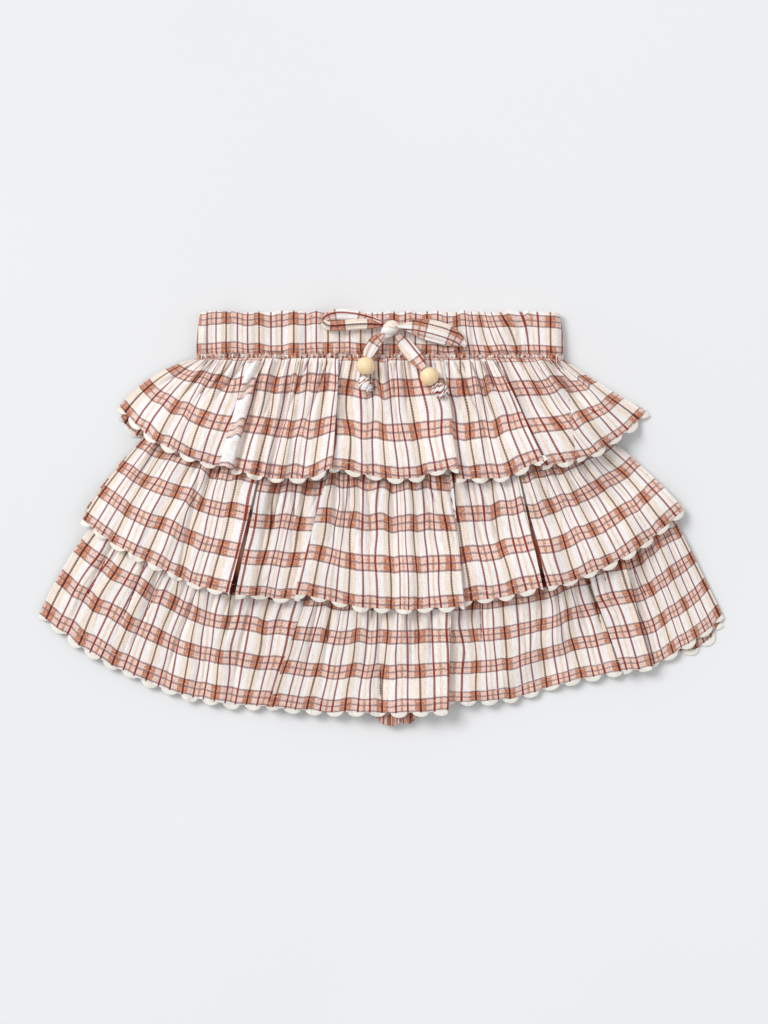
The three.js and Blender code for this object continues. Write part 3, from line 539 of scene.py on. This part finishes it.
def ruffle_grid(spec, folds, pitch, rows, hem=None):
    """Places on the table, and the shares across and down, of a ruffle's cloth."""
    (top_l, top_r), (hem_l, hem_r) = spec["top"], spec["hem"]
    width = hem_r - hem_l
    share = np.arange(0, 1, pitch / width)
    for kind, _, place_x, _, wide, _ in folds:
        close = {"roll": np.arange(-1, 1.01, 0.02) * 1.05 * wide, "slit": np.arange(-3.2, 3.3, 0.12)}
        if kind in close or kind.startswith("over"):
            steps = close.get(kind, np.arange(-2.4, 2.5, 0.14))
            share = np.append(share, (place_x - hem_l + steps) / width)
    share = np.unique(np.clip(np.append(share, 1.0), 0, 1))
    share = share[np.append(True, np.diff(share) > 0.05 / width)]
    share[-1] = 1.0
    pairs = sorted({(hem, top) for _, top, hem, _, _, start in folds if start < 0.3})
    knots = [0] + [(hem - hem_l) / width for hem, _ in pairs] + [1]
    tops = np.maximum.accumulate([top_l] + [top for _, top in pairs] + [top_r])
    top_x = mix(np.interp(share, knots, tops), mix(top_l, top_r, share), 0.25)
    length = spec["top_y"] - spec["hem_y"]
    drop = np.append(np.linspace(0, 1 - 1.4 / length, rows - 3), 1 - np.array([0.8, 0.3, 0]) / length)
    share, drop = share[:, None], drop[None, :]
    side = 2 * share - 1
    left = side < 0
    curve = np.abs(side) ** spec["power"]
    corner_l, corner_r = spec["corner_y"]
    hem_x = mix(hem_l, hem_r, share)
    x = mix(top_x[:, None], hem_x, drop)
    hem_line = mix(spec["hem_y"], np.where(left, corner_l, corner_r), curve)
    if hem:
        seen = np.array(hem)
        hem_line = np.mean([np.interp(hem_x / PIXEL + CENTRE_PX + shift, seen[:, 0], seen[:, 1])
                            for shift in (-0.6, 0, 0.6)], axis=0)
        hem_line = WAIST_TOP - (hem_line - WAIST_PX) * PIXEL
    y = mix(mix(spec["top_y"], spec["top_corner_y"], curve) + (TUCKED if hem else 0), hem_line, drop)
    out_x = np.where(left, corner_l - spec["top_corner_y"], spec["top_corner_y"] - corner_r)
    out_y = np.where(left, top_l - hem_l, hem_r - top_r)
    reach = np.where(left, *spec["bulge"]) * 4 * drop * (1 - drop) * side ** 4 / np.hypot(out_x, out_y)
    seed = int(spec["hem"][1] * 10)
    free = smooth(np.minimum(share, 1 - share), 0, 0.04)
    sway = 1.4 * noise(hem_x, drop * length, 17, 26, seed)
    sway = sway + 0.8 * noise(hem_x, drop * length, 6, 15, seed + 1)
    y = y + (0.3 * noise(hem_x, 0, 9, 1, seed + 2) + 0.3 * noise(hem_x, 0, 4, 1, seed + 3)) * drop ** 2 * free
    x = x + sway * free * np.sin(np.pi * drop ** 0.8)
    return x + out_x * reach, y + out_y * reach, hem_x + 0 * drop, share + 0 * drop, drop + 0 * share


def off_the_floor(lift):
    """The lift with its low places eased towards nothing, so that no crease cuts into the layer below."""
    return np.where(lift < 0.1, 0.1 * np.exp(np.minimum(lift - 0.1, 0) / 0.6), lift)


def add_ruffle(name, tier, spec, folds, pitch, rows, puff, hidden, gathers, seed):
    """A gathered ruffle draped on all that lies under it. Returns its surface and its shares."""
    outline = HEMS.get(tier if name.endswith("front") else name)
    x, y, hem_x, share, drop = ruffle_grid(spec, folds, pitch, rows, outline)
    length = spec["top_y"] - spec["hem_y"]
    lines = DARK_LINES[tier]
    pixel = CENTRE_PX + hem_x / PIXEL
    beyond = np.minimum(pixel - lines[0][0], 0) + np.maximum(pixel - lines[-1][0], 0)
    cloth_u = np.interp(pixel, *zip(*lines)) + beyond / REPEAT_PX
    repeat, first = BANDS[tier]
    cloth_v = (1 - drop) * length
    u_mm = cloth_u * REPEAT
    edge = smooth(np.minimum(share, 1 - share), 0, 0.035)
    rest = laid.drape(8, 6).height(x, y)
    raised, aside, sink = fold_shapes(folds, x, drop)
    raised = raised * smooth(drop, -hidden, hidden)
    wave = 0.5 * noise(u_mm, cloth_v, 24, 70, seed) + 0.5
    wave = mix(wave, np.abs(noise(u_mm, cloth_v, 11, 60, seed + 6)), 0.3)
    body = smooth(drop, 0, 0.035) * (1.25 - 0.9 * smooth(drop, 0.15, 0.9)) + 0.3 * smooth(drop, 0.3, 1)
    lift = puff * (0.55 + 0.7 * wave) * body + raised
    lift = np.maximum(lift, 0.0) * edge
    (top_l, top_r), (hem_l, hem_r) = spec["top"], spec["hem"]
    top_half = (top_r - top_l) / 2
    top_x = (x - mix(top_l, hem_l, drop)) / mix(top_r - top_l, hem_r - hem_l, drop) * 2 * top_half - top_half
    held = 0 * x
    if gathers:
        depth, drawn, held = gather_creases(top_x, drop, top_half, *gathers, seed + 1)
        lift -= depth * edge
        cloth_u = cloth_u + drawn * edge / REPEAT
        lift = off_the_floor(lift)
        lift = off_the_floor(lift + wrinkles(u_mm, cloth_v, 70, seed + 10) * edge)
    lift = lift * (1 - sink)
    crinkle = 0.16 * noise(u_mm, cloth_v, 2.3, 17, seed + 2) + 0.1 * noise(u_mm, cloth_v, 1.2, 7, seed + 3)
    lift += (crinkle + 0.26) * edge
    from_side = np.minimum(share, 1 - share) * SIDE_TO_SIDE
    roll = 0.55 * (1 - smooth(cloth_v, 0, 1.1)) + 0.5 * (1 - smooth(from_side, 0, 2.2))
    layer = LAYER * (rest > 0.01) + HEM_LAYER * (rest <= 0.01)
    z = rest + layer * (1 - 0.8 * sink) + lift - roll * 0.6
    grid = stacked(x + aside, y, np.maximum(z, 0.15))
    gathered = 0.35 + 0.65 * (1 - drop)
    wobble_u = 0.012 * noise(u_mm, cloth_v, 9, 14, seed + 4)
    wobble_u += 0.035 * gathered * noise(u_mm, cloth_v, 12, 80, seed + 7)
    wobble_v = 0.02 * noise(u_mm, cloth_v, 16, 30, seed + 5)
    wobble_v += 0.09 * gathered * noise(u_mm, cloth_v, 7, 60, seed + 8)
    rng = np.random.default_rng(seed + 9)
    jumps = rng.uniform(0.1, 0.26, len(folds)) * rng.choice([-1, 1], len(folds))
    for jump, (kind, top, hem, *_) in zip(jumps, folds):
        if kind in ("roll", "slit") or kind.startswith("over"):
            wobble_v += jump * smooth(x - mix(top, hem, drop), -0.5, 0.5) * (1 - drop) ** 0.5
    wobble_v += 0.2 * smooth(drop, 0.07, 0.0) * (tier == "tier_1")
    across, along = cloth_u + 0.5 + wobble_u, (cloth_v - first) / repeat + 0.5 + wobble_v
    near = np.floor(across) + held
    across = np.where((held > 0) & (np.abs(across - near) < 0.12), near, across)
    for kind, top, hem, tall, wide, start in folds:
        side = x - mix(top, hem, drop)
        # Along the edge of each tall overlapping fold the cloth takes the plaid's dark line: a painted shadow
        # under the fold's edge
        if kind.startswith("over") and tall > 2.5:
            inward = -side if kind == "over_right" else side
            fold_edge_painted_shadow = (inward > -0.75) & (inward < 0.1) & (drop > start)
            across = np.where(fold_edge_painted_shadow, np.floor(across) + 0.5 + 0.02 * inward, across)
        # The slit's floor takes the plaid's dark line, in the band near the hem and lighter higher up:
        # painted shade in the deep narrow slit
        if kind == "slit":
            slit_painted_shade = np.abs(side) < 1.5
            across = np.where(slit_painted_shade, np.floor(across) + 0.5 + 0.2 * (1 - drop) + 0.01 * side, across)
            along = np.where(slit_painted_shade, mix(0.25, 0.41, smooth(drop, 0.35, 0.6)), along)
        if kind == "roll":
            on_roll = np.abs(side) < wide * 0.9
            across = np.where(on_roll, 0.3 + 0.09 * side / wide, across)
            along = np.where(on_roll, along + 0.2, along)
    add_sheet(name, grid, stacked(across, along), PLAID, replaces=[name])
    below = laid.copy()
    laid.cover(grid)
    return grid, share[:, 0], below, folds, spec


def add_trim(name, ruffle, seed):
    """Rick-rack under a hem: a waved braid whose lower waves stand out, in a run between each two pleats."""
    grid, share, below, folds, spec = ruffle
    hem = grid[:, -1]
    width = spec["hem"][1] - spec["hem"][0]
    cuts = [(0.0, -0.1), (1.0, -0.1)]
    for kind, _, place_x, tall, wide, _ in folds:
        if kind in ("roll", "slit") or (kind.startswith("over") and tall >= 2):
            keep_off = {"roll": wide, "slit": 2.2}.get(kind, 0.9)
            cuts.append(((place_x - spec["hem"][0]) / width, keep_off / width))
    cuts.sort()
    points, uv, faces = [], [], []
    for (start, after), (end, before) in zip(cuts[:-1], cuts[1:]):
        path = hem[(share > start + after) & (share < end - before)]
        if len(path) < 6:
            continue
        steps = np.append(0, np.cumsum(np.hypot(*np.diff(path[:, :2], axis=0).T)))
        n = max(int(steps[-1] / TRIM_STEP), TRIM_ROWS)
        s = np.linspace(0, steps[-1], n)
        line = np.stack([np.interp(s, steps, path[:, k]) for k in range(3)], axis=1)
        ahead = np.gradient(line[:, :2], axis=0)
        padded = np.pad(ahead, ((4, 4), (0, 0)), "edge")
        ahead = np.stack([np.convolve(padded[:, k], np.ones(9) / 9, "valid") for k in (0, 1)], axis=1)
        ahead /= np.linalg.norm(ahead, axis=1, keepdims=True)
        out = np.stack([ahead[:, 1], -ahead[:, 0]], axis=1)
        phase = s / SCALLOP + seed
        across = np.linspace(0, 1, TRIM_ROWS)[None, :]
        petal = 2 * (phase - np.floor(phase)) - 1
        scallop = np.sqrt(np.clip(1 - (petal / 0.86) ** 2, 0, 1))[:, None] ** 0.9
        uneven = 1 + 0.16 * noise(np.floor(phase) * 9.7, 0, 6, 1, int(seed) + 20)[:, None]
        reach = -2.6 + across * (1.7 + 3.4 * scallop * uneven)
        sideways = -0.5 * across * petal[:, None] * scallop
        px = line[:, :1] + out[:, :1] * reach + ahead[:, :1] * sideways
        py = line[:, 1:2] + out[:, 1:] * reach + ahead[:, 1:] * sideways
        crown = 0.45 * np.sin(np.pi * across) * (0.3 + 0.7 * scallop)
        z = line[:, 2:] - 0.35 - 0.25 * across + crown
        z = np.maximum(z, below.height(px, py) + 0.25 + crown)
        z = np.where(reach < -0.2, np.minimum(z, line[:, 2:] - 0.3), z)
        base = sum(len(p) for p in points)
        points.append(stacked(px, py, np.maximum(z, 0.1)).reshape(-1, 3))
        uv.append(stacked(s[:, None], across * 4).reshape(-1, 2))
        faces.append(grid_faces(n, TRIM_ROWS) + base)
    add_mesh(name, np.concatenate(points), np.concatenate(faces), np.concatenate(uv), CREAM,
             replaces=[name], slot="rickrack")


def add_stitches(name, grid, row, spacing, long, seed):
    """A row of small raised stitches on a surface, along one of its rows."""
    line = mix(grid[:, row], grid[:, row + 1], 0.5)
    steps = np.append(0, np.cumsum(np.linalg.norm(np.diff(line, axis=0), axis=1)))
    rng = np.random.default_rng(seed)
    points, faces = [], []
    ring = np.linspace(0, 2 * np.pi, 7)[:-1]
    for n, s in enumerate(np.arange(spacing, steps[-1] - spacing, spacing)):
        ends = s + np.array([-0.5, -0.35, 0.35, 0.5]) * long * rng.uniform(0.8, 1.1)
        centre = np.stack([np.interp(ends, steps, line[:, k]) for k in range(3)], axis=1)
        ahead = centre[-1] - centre[0]
        ahead /= np.linalg.norm(ahead)
        aside = np.cross(ahead, [0, 0, 1])
        thick = np.array([0.04, THREAD_RADIUS, THREAD_RADIUS, 0.04])[:, None, None]
        circle = np.cos(ring)[:, None] * aside + np.sin(ring)[:, None] * [0, 0, 1]
        body = centre[:, None] + thick * circle
        body[:, :, 2] += 0.06
        faces.append(grid_faces(6, 4, ring=True) + n * 24)
        points.append(body.transpose(1, 0, 2).reshape(-1, 3))
    points = np.concatenate(points)
    add_mesh(name, points, np.concatenate(faces), points[:, :2], THREAD)


# Camera: straight above. The photograph's frame is 414.7 by 553 mm, at the height of the cloth
FRAME_HEIGHT = 0.553  # metres
CLOTH_HEIGHT = 0.008
middle_x, middle_y = PHOTO_MIDDLE
camera = bpy.data.objects.new("camera", bpy.data.cameras.new("camera"))
camera.data.sensor_width = 36
camera.data.lens = 110
camera.data.clip_end = 20
camera.location = place([(middle_x - CENTRE_PX) * PIXEL, WAIST_TOP - (middle_y - WAIST_PX) * PIXEL, 0])[0]
camera.location.z = FRAME_HEIGHT * camera.data.lens / camera.data.sensor_width + CLOTH_HEIGHT
bpy.context.scene.collection.objects.link(camera)
bpy.context.scene.camera = camera

# Back ruffles, yoke and bloomers
for index, tier in enumerate(RUFFLES):
    spec = dict(RUFFLES[tier])
    slip = BACK_SLIP[tier]
    spec["hem"] = tuple(np.add(spec["hem"], slip["hem"]))
    spec["corner_y"] = tuple(np.add(spec["corner_y"], slip["corner_y"]))
    spec["hem_y"] += slip["hem_y"]
    ruffle = add_ruffle(f"{tier}_back", tier, spec, BACK_FOLDS[tier], pitch=0.9, rows=36, puff=0.0,
                        hidden=0.5, gathers=None, seed=100 + 10 * index)
    add_trim(f"{tier}_back_trim", ruffle, 0.7 + index)


def add_panel(name, sections, seed):
    """A plain panel between the left and right sides that its sections name."""
    sections = np.array(sections, float)
    down = np.linspace(0, len(sections) - 1, 90)
    y, left, right = (np.interp(down, np.arange(len(sections)), sections[:, k]) for k in range(3))
    across = np.linspace(0, 1, 120)[:, None]
    x = mix(left, right, across)
    y = y + 0 * across
    rest = laid.drape(6, 4).height(x, y)
    leg = smooth(-y, 100, 106)
    puckers = 0.9 * leg * np.sin(x * 2.1 + noise(x, 0, 5, 1, seed + 1))
    z = rest + LAYER + 0.2 * noise(x, y, 12, 20, seed) + puckers
    y = y + 0.9 * leg * noise(x, 0, 2.6, 1, seed + 2)
    grid = stacked(x, y, z)
    u = x / REPEAT * (1 + 0.9 * leg)
    v = mix(y / REPEAT_DOWN, 0.42 + 0.02 * x / REPEAT_DOWN, leg)
    add_sheet(name, grid, stacked(u, v), PLAID, replaces=[name])
    laid.cover(grid)


add_panel("yoke_back", YOKE, 41)
add_panel("bloomers_back", BLOOMERS, 42)
add_panel("bloomers_front", BLOOMERS, 43)
add_panel("yoke_front", YOKE, 44)

# Front ruffles, lowest first: pitch of columns, rows, puff, hidden share, gathers and seed
FRONT = {
    "tier_3": (0.36, 62, 2.6, 0.22, (3.9, 3.4, 1.1), 300),
    "tier_2": (0.34, 66, 2.8, 0.22, (3.5, 3.8, 1.1), 200),
    "tier_1": (0.3, 62, 3.0, 0.06, (3.0, 4.2, 0.9), 150),
}
STITCH_ROWS_UP = {"tier_1": 7, "tier_2": 7, "tier_3": 8}
for tier, settings in FRONT.items():
    ruffle = add_ruffle(f"{tier}_front", tier, RUFFLES[tier], FRONT_FOLDS[tier], *settings)
    add_trim(f"{tier}_front_trim", ruffle, 0.4 + settings[-1])
    hem_row = settings[1] - STITCH_ROWS_UP[tier]
    add_stitches(f"{tier}_hem_stitches", ruffle[0], hem_row, 3.0, 1.9, settings[-1])


def waistband(name, front):
    """One side of the elastic casing: folded top edge, gathers over the elastic, puckers at its seam."""
    share = np.linspace(0, 1, 620 if front else 260)[:, None]
    down = np.linspace(0, 1, 52 if front else 26)[None, :]
    from_seam = (1 - down) * WAIST_DEPTH
    width = 2 * WAIST_HALF - 5 * (1 - down) ** 2 - 1.5 * down ** 4
    x = (share - 0.5) * width
    top = 0.5 * noise(x, 0, 5, 1, 61) + 0.35 * noise(x, 0, 2.1, 1, 62)
    waves = x * 2.3 + 2.6 * noise(x, 0, 7, 1, 60)
    frill = 0.45 * np.sin(waves) + 0.7 * noise(x, 0, 8, 1, 59) - 0.9
    y = WAIST_TOP - down * WAIST_DEPTH + top * (1 - down) ** 2 + frill * smooth(down, 0.8, 1)
    side = smooth(np.minimum(share, 1 - share), 0, 0.02) ** 0.5
    body = np.sqrt(np.clip(1 - (1 - down / 0.12).clip(0, 1) ** 2, 0, 1)) * (1 - 0.25 * smooth(down, 0.86, 1))
    ribs = 1.3 * noise(x, from_seam, 6.5, 60, 63) + 0.7 * noise(x, from_seam, 2.8, 30, 64)
    gathered = smooth(down, 0.84, 0.92)
    puckers = np.abs(np.sin(x * 1.15 + 0.8 * noise(x, 0, 7, 1, 65))) * smooth(down, 0.66, 0.86)
    puckers += (1.1 * np.sin(waves + 1.2) + 0.6 * noise(x, 0, 1.7, 1, 58)) * gathered
    puckers -= 1.6 * np.exp(-(((down - 0.855) / 0.022) ** 2))
    puckers += 0.35 * np.abs(np.sin(x * 1.4 + noise(x, 0, 6, 1, 66))) * (1 - smooth(down, 0.02, 0.3))
    crinkle = 0.1 * noise(x, from_seam, 1.6, 8, 67)
    relief = ribs * (0.4 + 0.6 * np.sin(np.pi * down)) + puckers + crinkle
    if front:
        z = CASING + SEAM_GAP + (CASING + relief) * side * body
    else:
        z = CASING - (CASING - 0.15 * (1 + relief.clip(-1, 1))) * side * body
    lean = -10.5 * np.exp(-(((x - 62) / 16) ** 2)) * (1 - down)
    pixel = CENTRE_PX + (x - lean) / PIXEL
    u = np.interp(pixel, *zip(*WAIST_LINES)) + 0.012 * noise(x, from_seam, 9, 14, 68)
    u = u + 0.15 * np.sin(waves + 0.7) * gathered
    repeat, first = WAIST_BANDS
    v = (from_seam - first + 1.3 * noise(x, 0, 19, 1, 69) + 0.6 * noise(x, 0, 6, 1, 70)) / repeat
    turned = np.sin(waves * 0.37 + noise(x, 0, 5, 1, 57))
    v = mix(v, mix(-0.09 + 0.06 * turned, -0.36, smooth(turned, 0.45, 0.6)), gathered)
    grid = stacked(x, y, z)
    add_sheet(name, grid, stacked(u + 0.5, v + 0.5), PLAID, replaces=[name])
    laid.cover(grid)
    return grid


waistband("waistband_back", False)
casing = waistband("waistband_front", True)
add_stitches("casing_stitches", casing, 43, 2.6, 1.7, 71)


def spin(shape, angle):
    """A shape turned about the upright axis."""
    c, s = np.cos(angle), np.sin(angle)
    x, y, z = np.moveaxis(shape, -1, 0)
    return stacked(x * c - y * s, x * s + y * c, z)


def add_knot(name, middle, size, turn, creases, plies, cloth):
    """A tight knot of cloth: a rounded lump with deep creases winding round it."""
    around = np.linspace(0, 2 * np.pi, 73)[:-1][:, None]
    up = np.linspace(0.02, np.pi - 0.02, 40)[None, :]
    wind = np.sin(plies * around + creases * up)
    radius = 1 - 0.3 * np.exp(-((wind / 0.28) ** 2)) * np.sin(up) + 0.06 * np.sin(3 * around + 2 * up)
    radius = radius + 0.05 * noise(around * 3, up * 3, 1, 1, 81)
    ball = stacked(np.cos(up), np.sin(up) * np.cos(around), np.sin(up) * np.sin(around))
    local = 0.5 * radius[..., None] * ball * size
    start_u, sway, turns, start_v = cloth
    u = start_u + sway * np.sin(turns * up + 1.2 * wind)
    uv = stacked(u, start_v + 0.02 * around)
    points = (spin(local, turn) + middle).reshape(-1, 3)
    faces = grid_faces(*local.shape[:2], ring=True)
    add_mesh(name, points, faces, uv.reshape(-1, 2), PLAID, replaces=[name])


def node_middle(name):
    """The middle of a node's box, in the garment's frame."""
    low, high = (np.array(corner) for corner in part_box(name))
    return (low + high) / 2 * 1000 + CENTRE


def add_bead(name, heading):
    """A turned wooden bead with its bored hole along the tie."""
    open_at = np.arcsin(BEAD_HOLE / BEAD_RADIUS)
    turn = np.linspace(-np.pi / 2, np.pi / 2, 40) * (1 - 2 * open_at / np.pi)
    mouth, bore = (4.5, 3.5), (1.5, 1.5)  # the hole's wall, as far in as it shows
    profile_z = np.concatenate([np.negative(mouth[::-1]), BEAD_RADIUS * np.sin(turn), mouth])
    profile_r = np.concatenate([bore, BEAD_RADIUS * np.cos(turn), bore])
    around = np.linspace(0, 2 * np.pi, 65)[:-1][:, None]
    local = stacked(profile_z, profile_r * np.cos(around), profile_r * np.sin(around))
    points = (spin(local, heading) + node_middle(name)).reshape(-1, 3)
    faces = grid_faces(*local.shape[:2], ring=True)[:, ::-1]
    add_mesh(name, points, faces, points[:, :2] * 0.1, WOOD, replaces=[name], slot="bead_wood")


def add_strap(name, sections, start_u, twist, seed, pleats=1.0, crossed=1.0, start_v=0.3, crease=0.0):
    """A flat tube of cloth along a route: rows of x, y, z of its middle, width and thickness."""
    sections = np.array(sections, float)
    at = np.linspace(0, len(sections) - 1, STRAP_STEPS)
    k = np.arange(len(sections))
    window = np.hanning(19)
    window = window[1:-1] / window.sum()
    route = [np.interp(at, k, sections[:, c]) for c in range(5)]
    padded = [np.pad(c, len(window) // 2, "reflect", reflect_type="odd") for c in route]
    x, y, z, wide, thick = (np.convolve(c, window, "valid") for c in padded)
    ahead = np.stack([np.gradient(x), np.gradient(y)], axis=1)
    ahead /= np.linalg.norm(ahead, axis=1, keepdims=True)
    aside = np.stack([ahead[:, 1], -ahead[:, 0]], axis=1)
    around = np.linspace(-0.49 * np.pi, 1.49 * np.pi, 49)[:, None]  # its own seam lies underneath
    tip = np.linspace(0, 1, STRAP_STEPS)[None, :]
    pinch = 0.55 + 0.45 * smooth(tip, 0, 0.25)
    folds = 0.28 * np.sin(around * 3 + 2 * tip + seed) + 0.22 * np.sin(around * 7 - 2 * tip + 2 * seed)
    half = wide / 2 * pinch
    width = np.sign(np.cos(around)) * np.abs(np.cos(around)) ** 0.8 * half
    height = np.sign(np.sin(around)) * np.abs(np.sin(around)) ** 0.9 * thick / 2 * (1 + folds * pleats)
    groove = np.exp(-(((np.cos(around) - 0.3) / 0.16) ** 2)) * (around > 0)
    height = height - crease * groove * np.sin(np.pi * tip)
    tilt = twist * (tip - 0.5) * width / np.maximum(half, 0.1)
    px, py, pz = x + aside[:, 0] * width, y + aside[:, 1] * width, z + height + tilt
    length = np.append(0, np.cumsum(np.hypot(np.diff(x), np.diff(y))))
    u, v = start_u + crossed * width / REPEAT, length / REPEAT_DOWN + start_v
    add_sheet(name, stacked(px, py, pz), stacked(u, v), PLAID, replaces=[name])


knot = node_middle("bow_knot")
bead_l, bead_r = node_middle("bead_left"), node_middle("bead_right")
end_l, end_r = node_middle("end_knot_left"), node_middle("end_knot_right")
base = knot[2] - 2.6
add_knot("bow_knot", knot, (10.5, 8, 6.5), 0.6, 2.2, 2, (0.29, 0.09, 2, 0.84))
add_knot("end_knot_left", end_l, (9.5, 8, 6.5), 1.9, 3.0, 2, (0.18, 0.07, 4, 0.24))
add_knot("end_knot_right", end_r, (9.5, 8.5, 6.5), -0.8, 3.4, 2, (0.16, 0.042, 6, 0.84))
add_bead("bead_left", np.arctan2(bead_l[1] - end_l[1], bead_l[0] - end_l[0]))
add_bead("bead_right", np.arctan2(bead_r[1] - end_r[1], bead_r[0] - end_r[0]))
add_strap("bow_loop_left_return", [
    (-30.6, 106.4, base + 1.4, 3.5, 2.2), (-28.6, 108.8, base + 1.1, 5, 1.8),
    (-23, 110.4, base + 0.9, 6, 1.6), (-14, 109.8, base + 0.9, 5.5, 1.6),
    (-5, 107.6, base + 1.2, 4, 1.6), (1, 105.4, base + 1.6, 3, 1.6)],
    0.2, 0.8, 1)
add_strap("bow_loop_left", [
    (1.2, 104.2, base + 2.8, 4.5, 2.6), (-5, 104.8, base + 3.0, 5.6, 2.2), (-13, 104.6, base + 3.0, 5.8, 2.2),
    (-21, 103.9, base + 3.0, 5.6, 2.2), (-28, 103.6, base + 2.6, 4.8, 2.4), (-31, 106, base + 1.8, 3.4, 2.6)],
    0.5, 0.6, 2)
add_strap("bow_loop_right", [
    (9.4, 103.4, base + 2.4, 4.5, 3.0), (18.5, 103.4, base + 2.8, 8.5, 3.2), (27, 101.4, base + 3.0, 12, 3.2),
    (35, 99.2, base + 2.8, 12, 3.0), (42, 96.4, base + 2.2, 8, 2.4), (46.4, 93.2, base + 1.2, 2, 1.4)],
    0.72, -1.2, 3, pleats=2.4, crossed=1.5, start_v=-0.1, crease=1.5)
add_strap("tie_end_left", [
    (2.4, 99.4, base + 2.6, 4.5, 2.4), (-2.6, 95, base + 2.8, 7, 2.0),
    (-5.6, 90.2, mix(base, bead_l[2], 0.6), 7, 2.2), (-7.2, 86.6, bead_l[2], 4, 2.6)],
    0.33, 0.5, 4, pleats=1.6)
add_strap("tie_end_right", [
    (9, 99, base + 2.6, 4.5, 2.4), (14, 93.2, base + 2.8, 8, 2.0),
    (19.6, 86, mix(base, bead_r[2], 0.6), 8, 2.2), (23.6, 80.4, bead_r[2], 4, 2.6)],
    0.27, -0.5, 5, pleats=1.6, start_v=0.5)

# Studio: pale table, soft light from the upper left, a weaker fill and an even room
TABLE_HALF = 4  # metres
TABLE_TOP = -0.0004
corners = [(x * TABLE_HALF, y * TABLE_HALF, TABLE_TOP) for x, y in ((-1, -1), (1, -1), (1, 1), (-1, 1))]
floor_mesh = bpy.data.meshes.new("table")
floor_mesh.from_pydata(corners, [], [(0, 1, 2, 3)])
floor_look = Look("table_paper", 0.9)
floor_at, _, _ = floor_look.coordinates("Object")
floor_look.put(floor_look.shader.inputs["Base Color"], floor_look.ramp(
    floor_look.noise(floor_at, 3.0), [(0.3, linear(237, 238, 239)), (0.7, linear(240, 241, 242))]))
floor_mesh.materials.append(floor_look.material)
table = bpy.data.objects.new("table", floor_mesh)
bpy.context.scene.collection.objects.link(table)


def area_light(name, location, size, power):
    light = bpy.data.lights.new(name, "AREA")
    light.shape = "SQUARE"
    light.size = size
    light.energy = power
    lamp = bpy.data.objects.new(name, light)
    lamp.location = location
    direction = -np.array(location, float)
    lamp.rotation_euler = Vector(direction).to_track_quat("-Z", "Y").to_euler()
    bpy.context.scene.collection.objects.link(lamp)


area_light("key", (-8.2, 6.8, 10.4), 7.0, 1400)
area_light("fill", (2.4, -0.6, 2.6), 1.6, 7.0)
world = bpy.data.worlds.new("room")
world.use_nodes = True
world.node_tree.nodes["Background"].inputs["Color"].default_value = linear(252, 252, 253)
world.node_tree.nodes["Background"].inputs["Strength"].default_value = 0.56
bpy.context.scene.world = world
bpy.context.scene.view_settings.view_transform = "Standard"
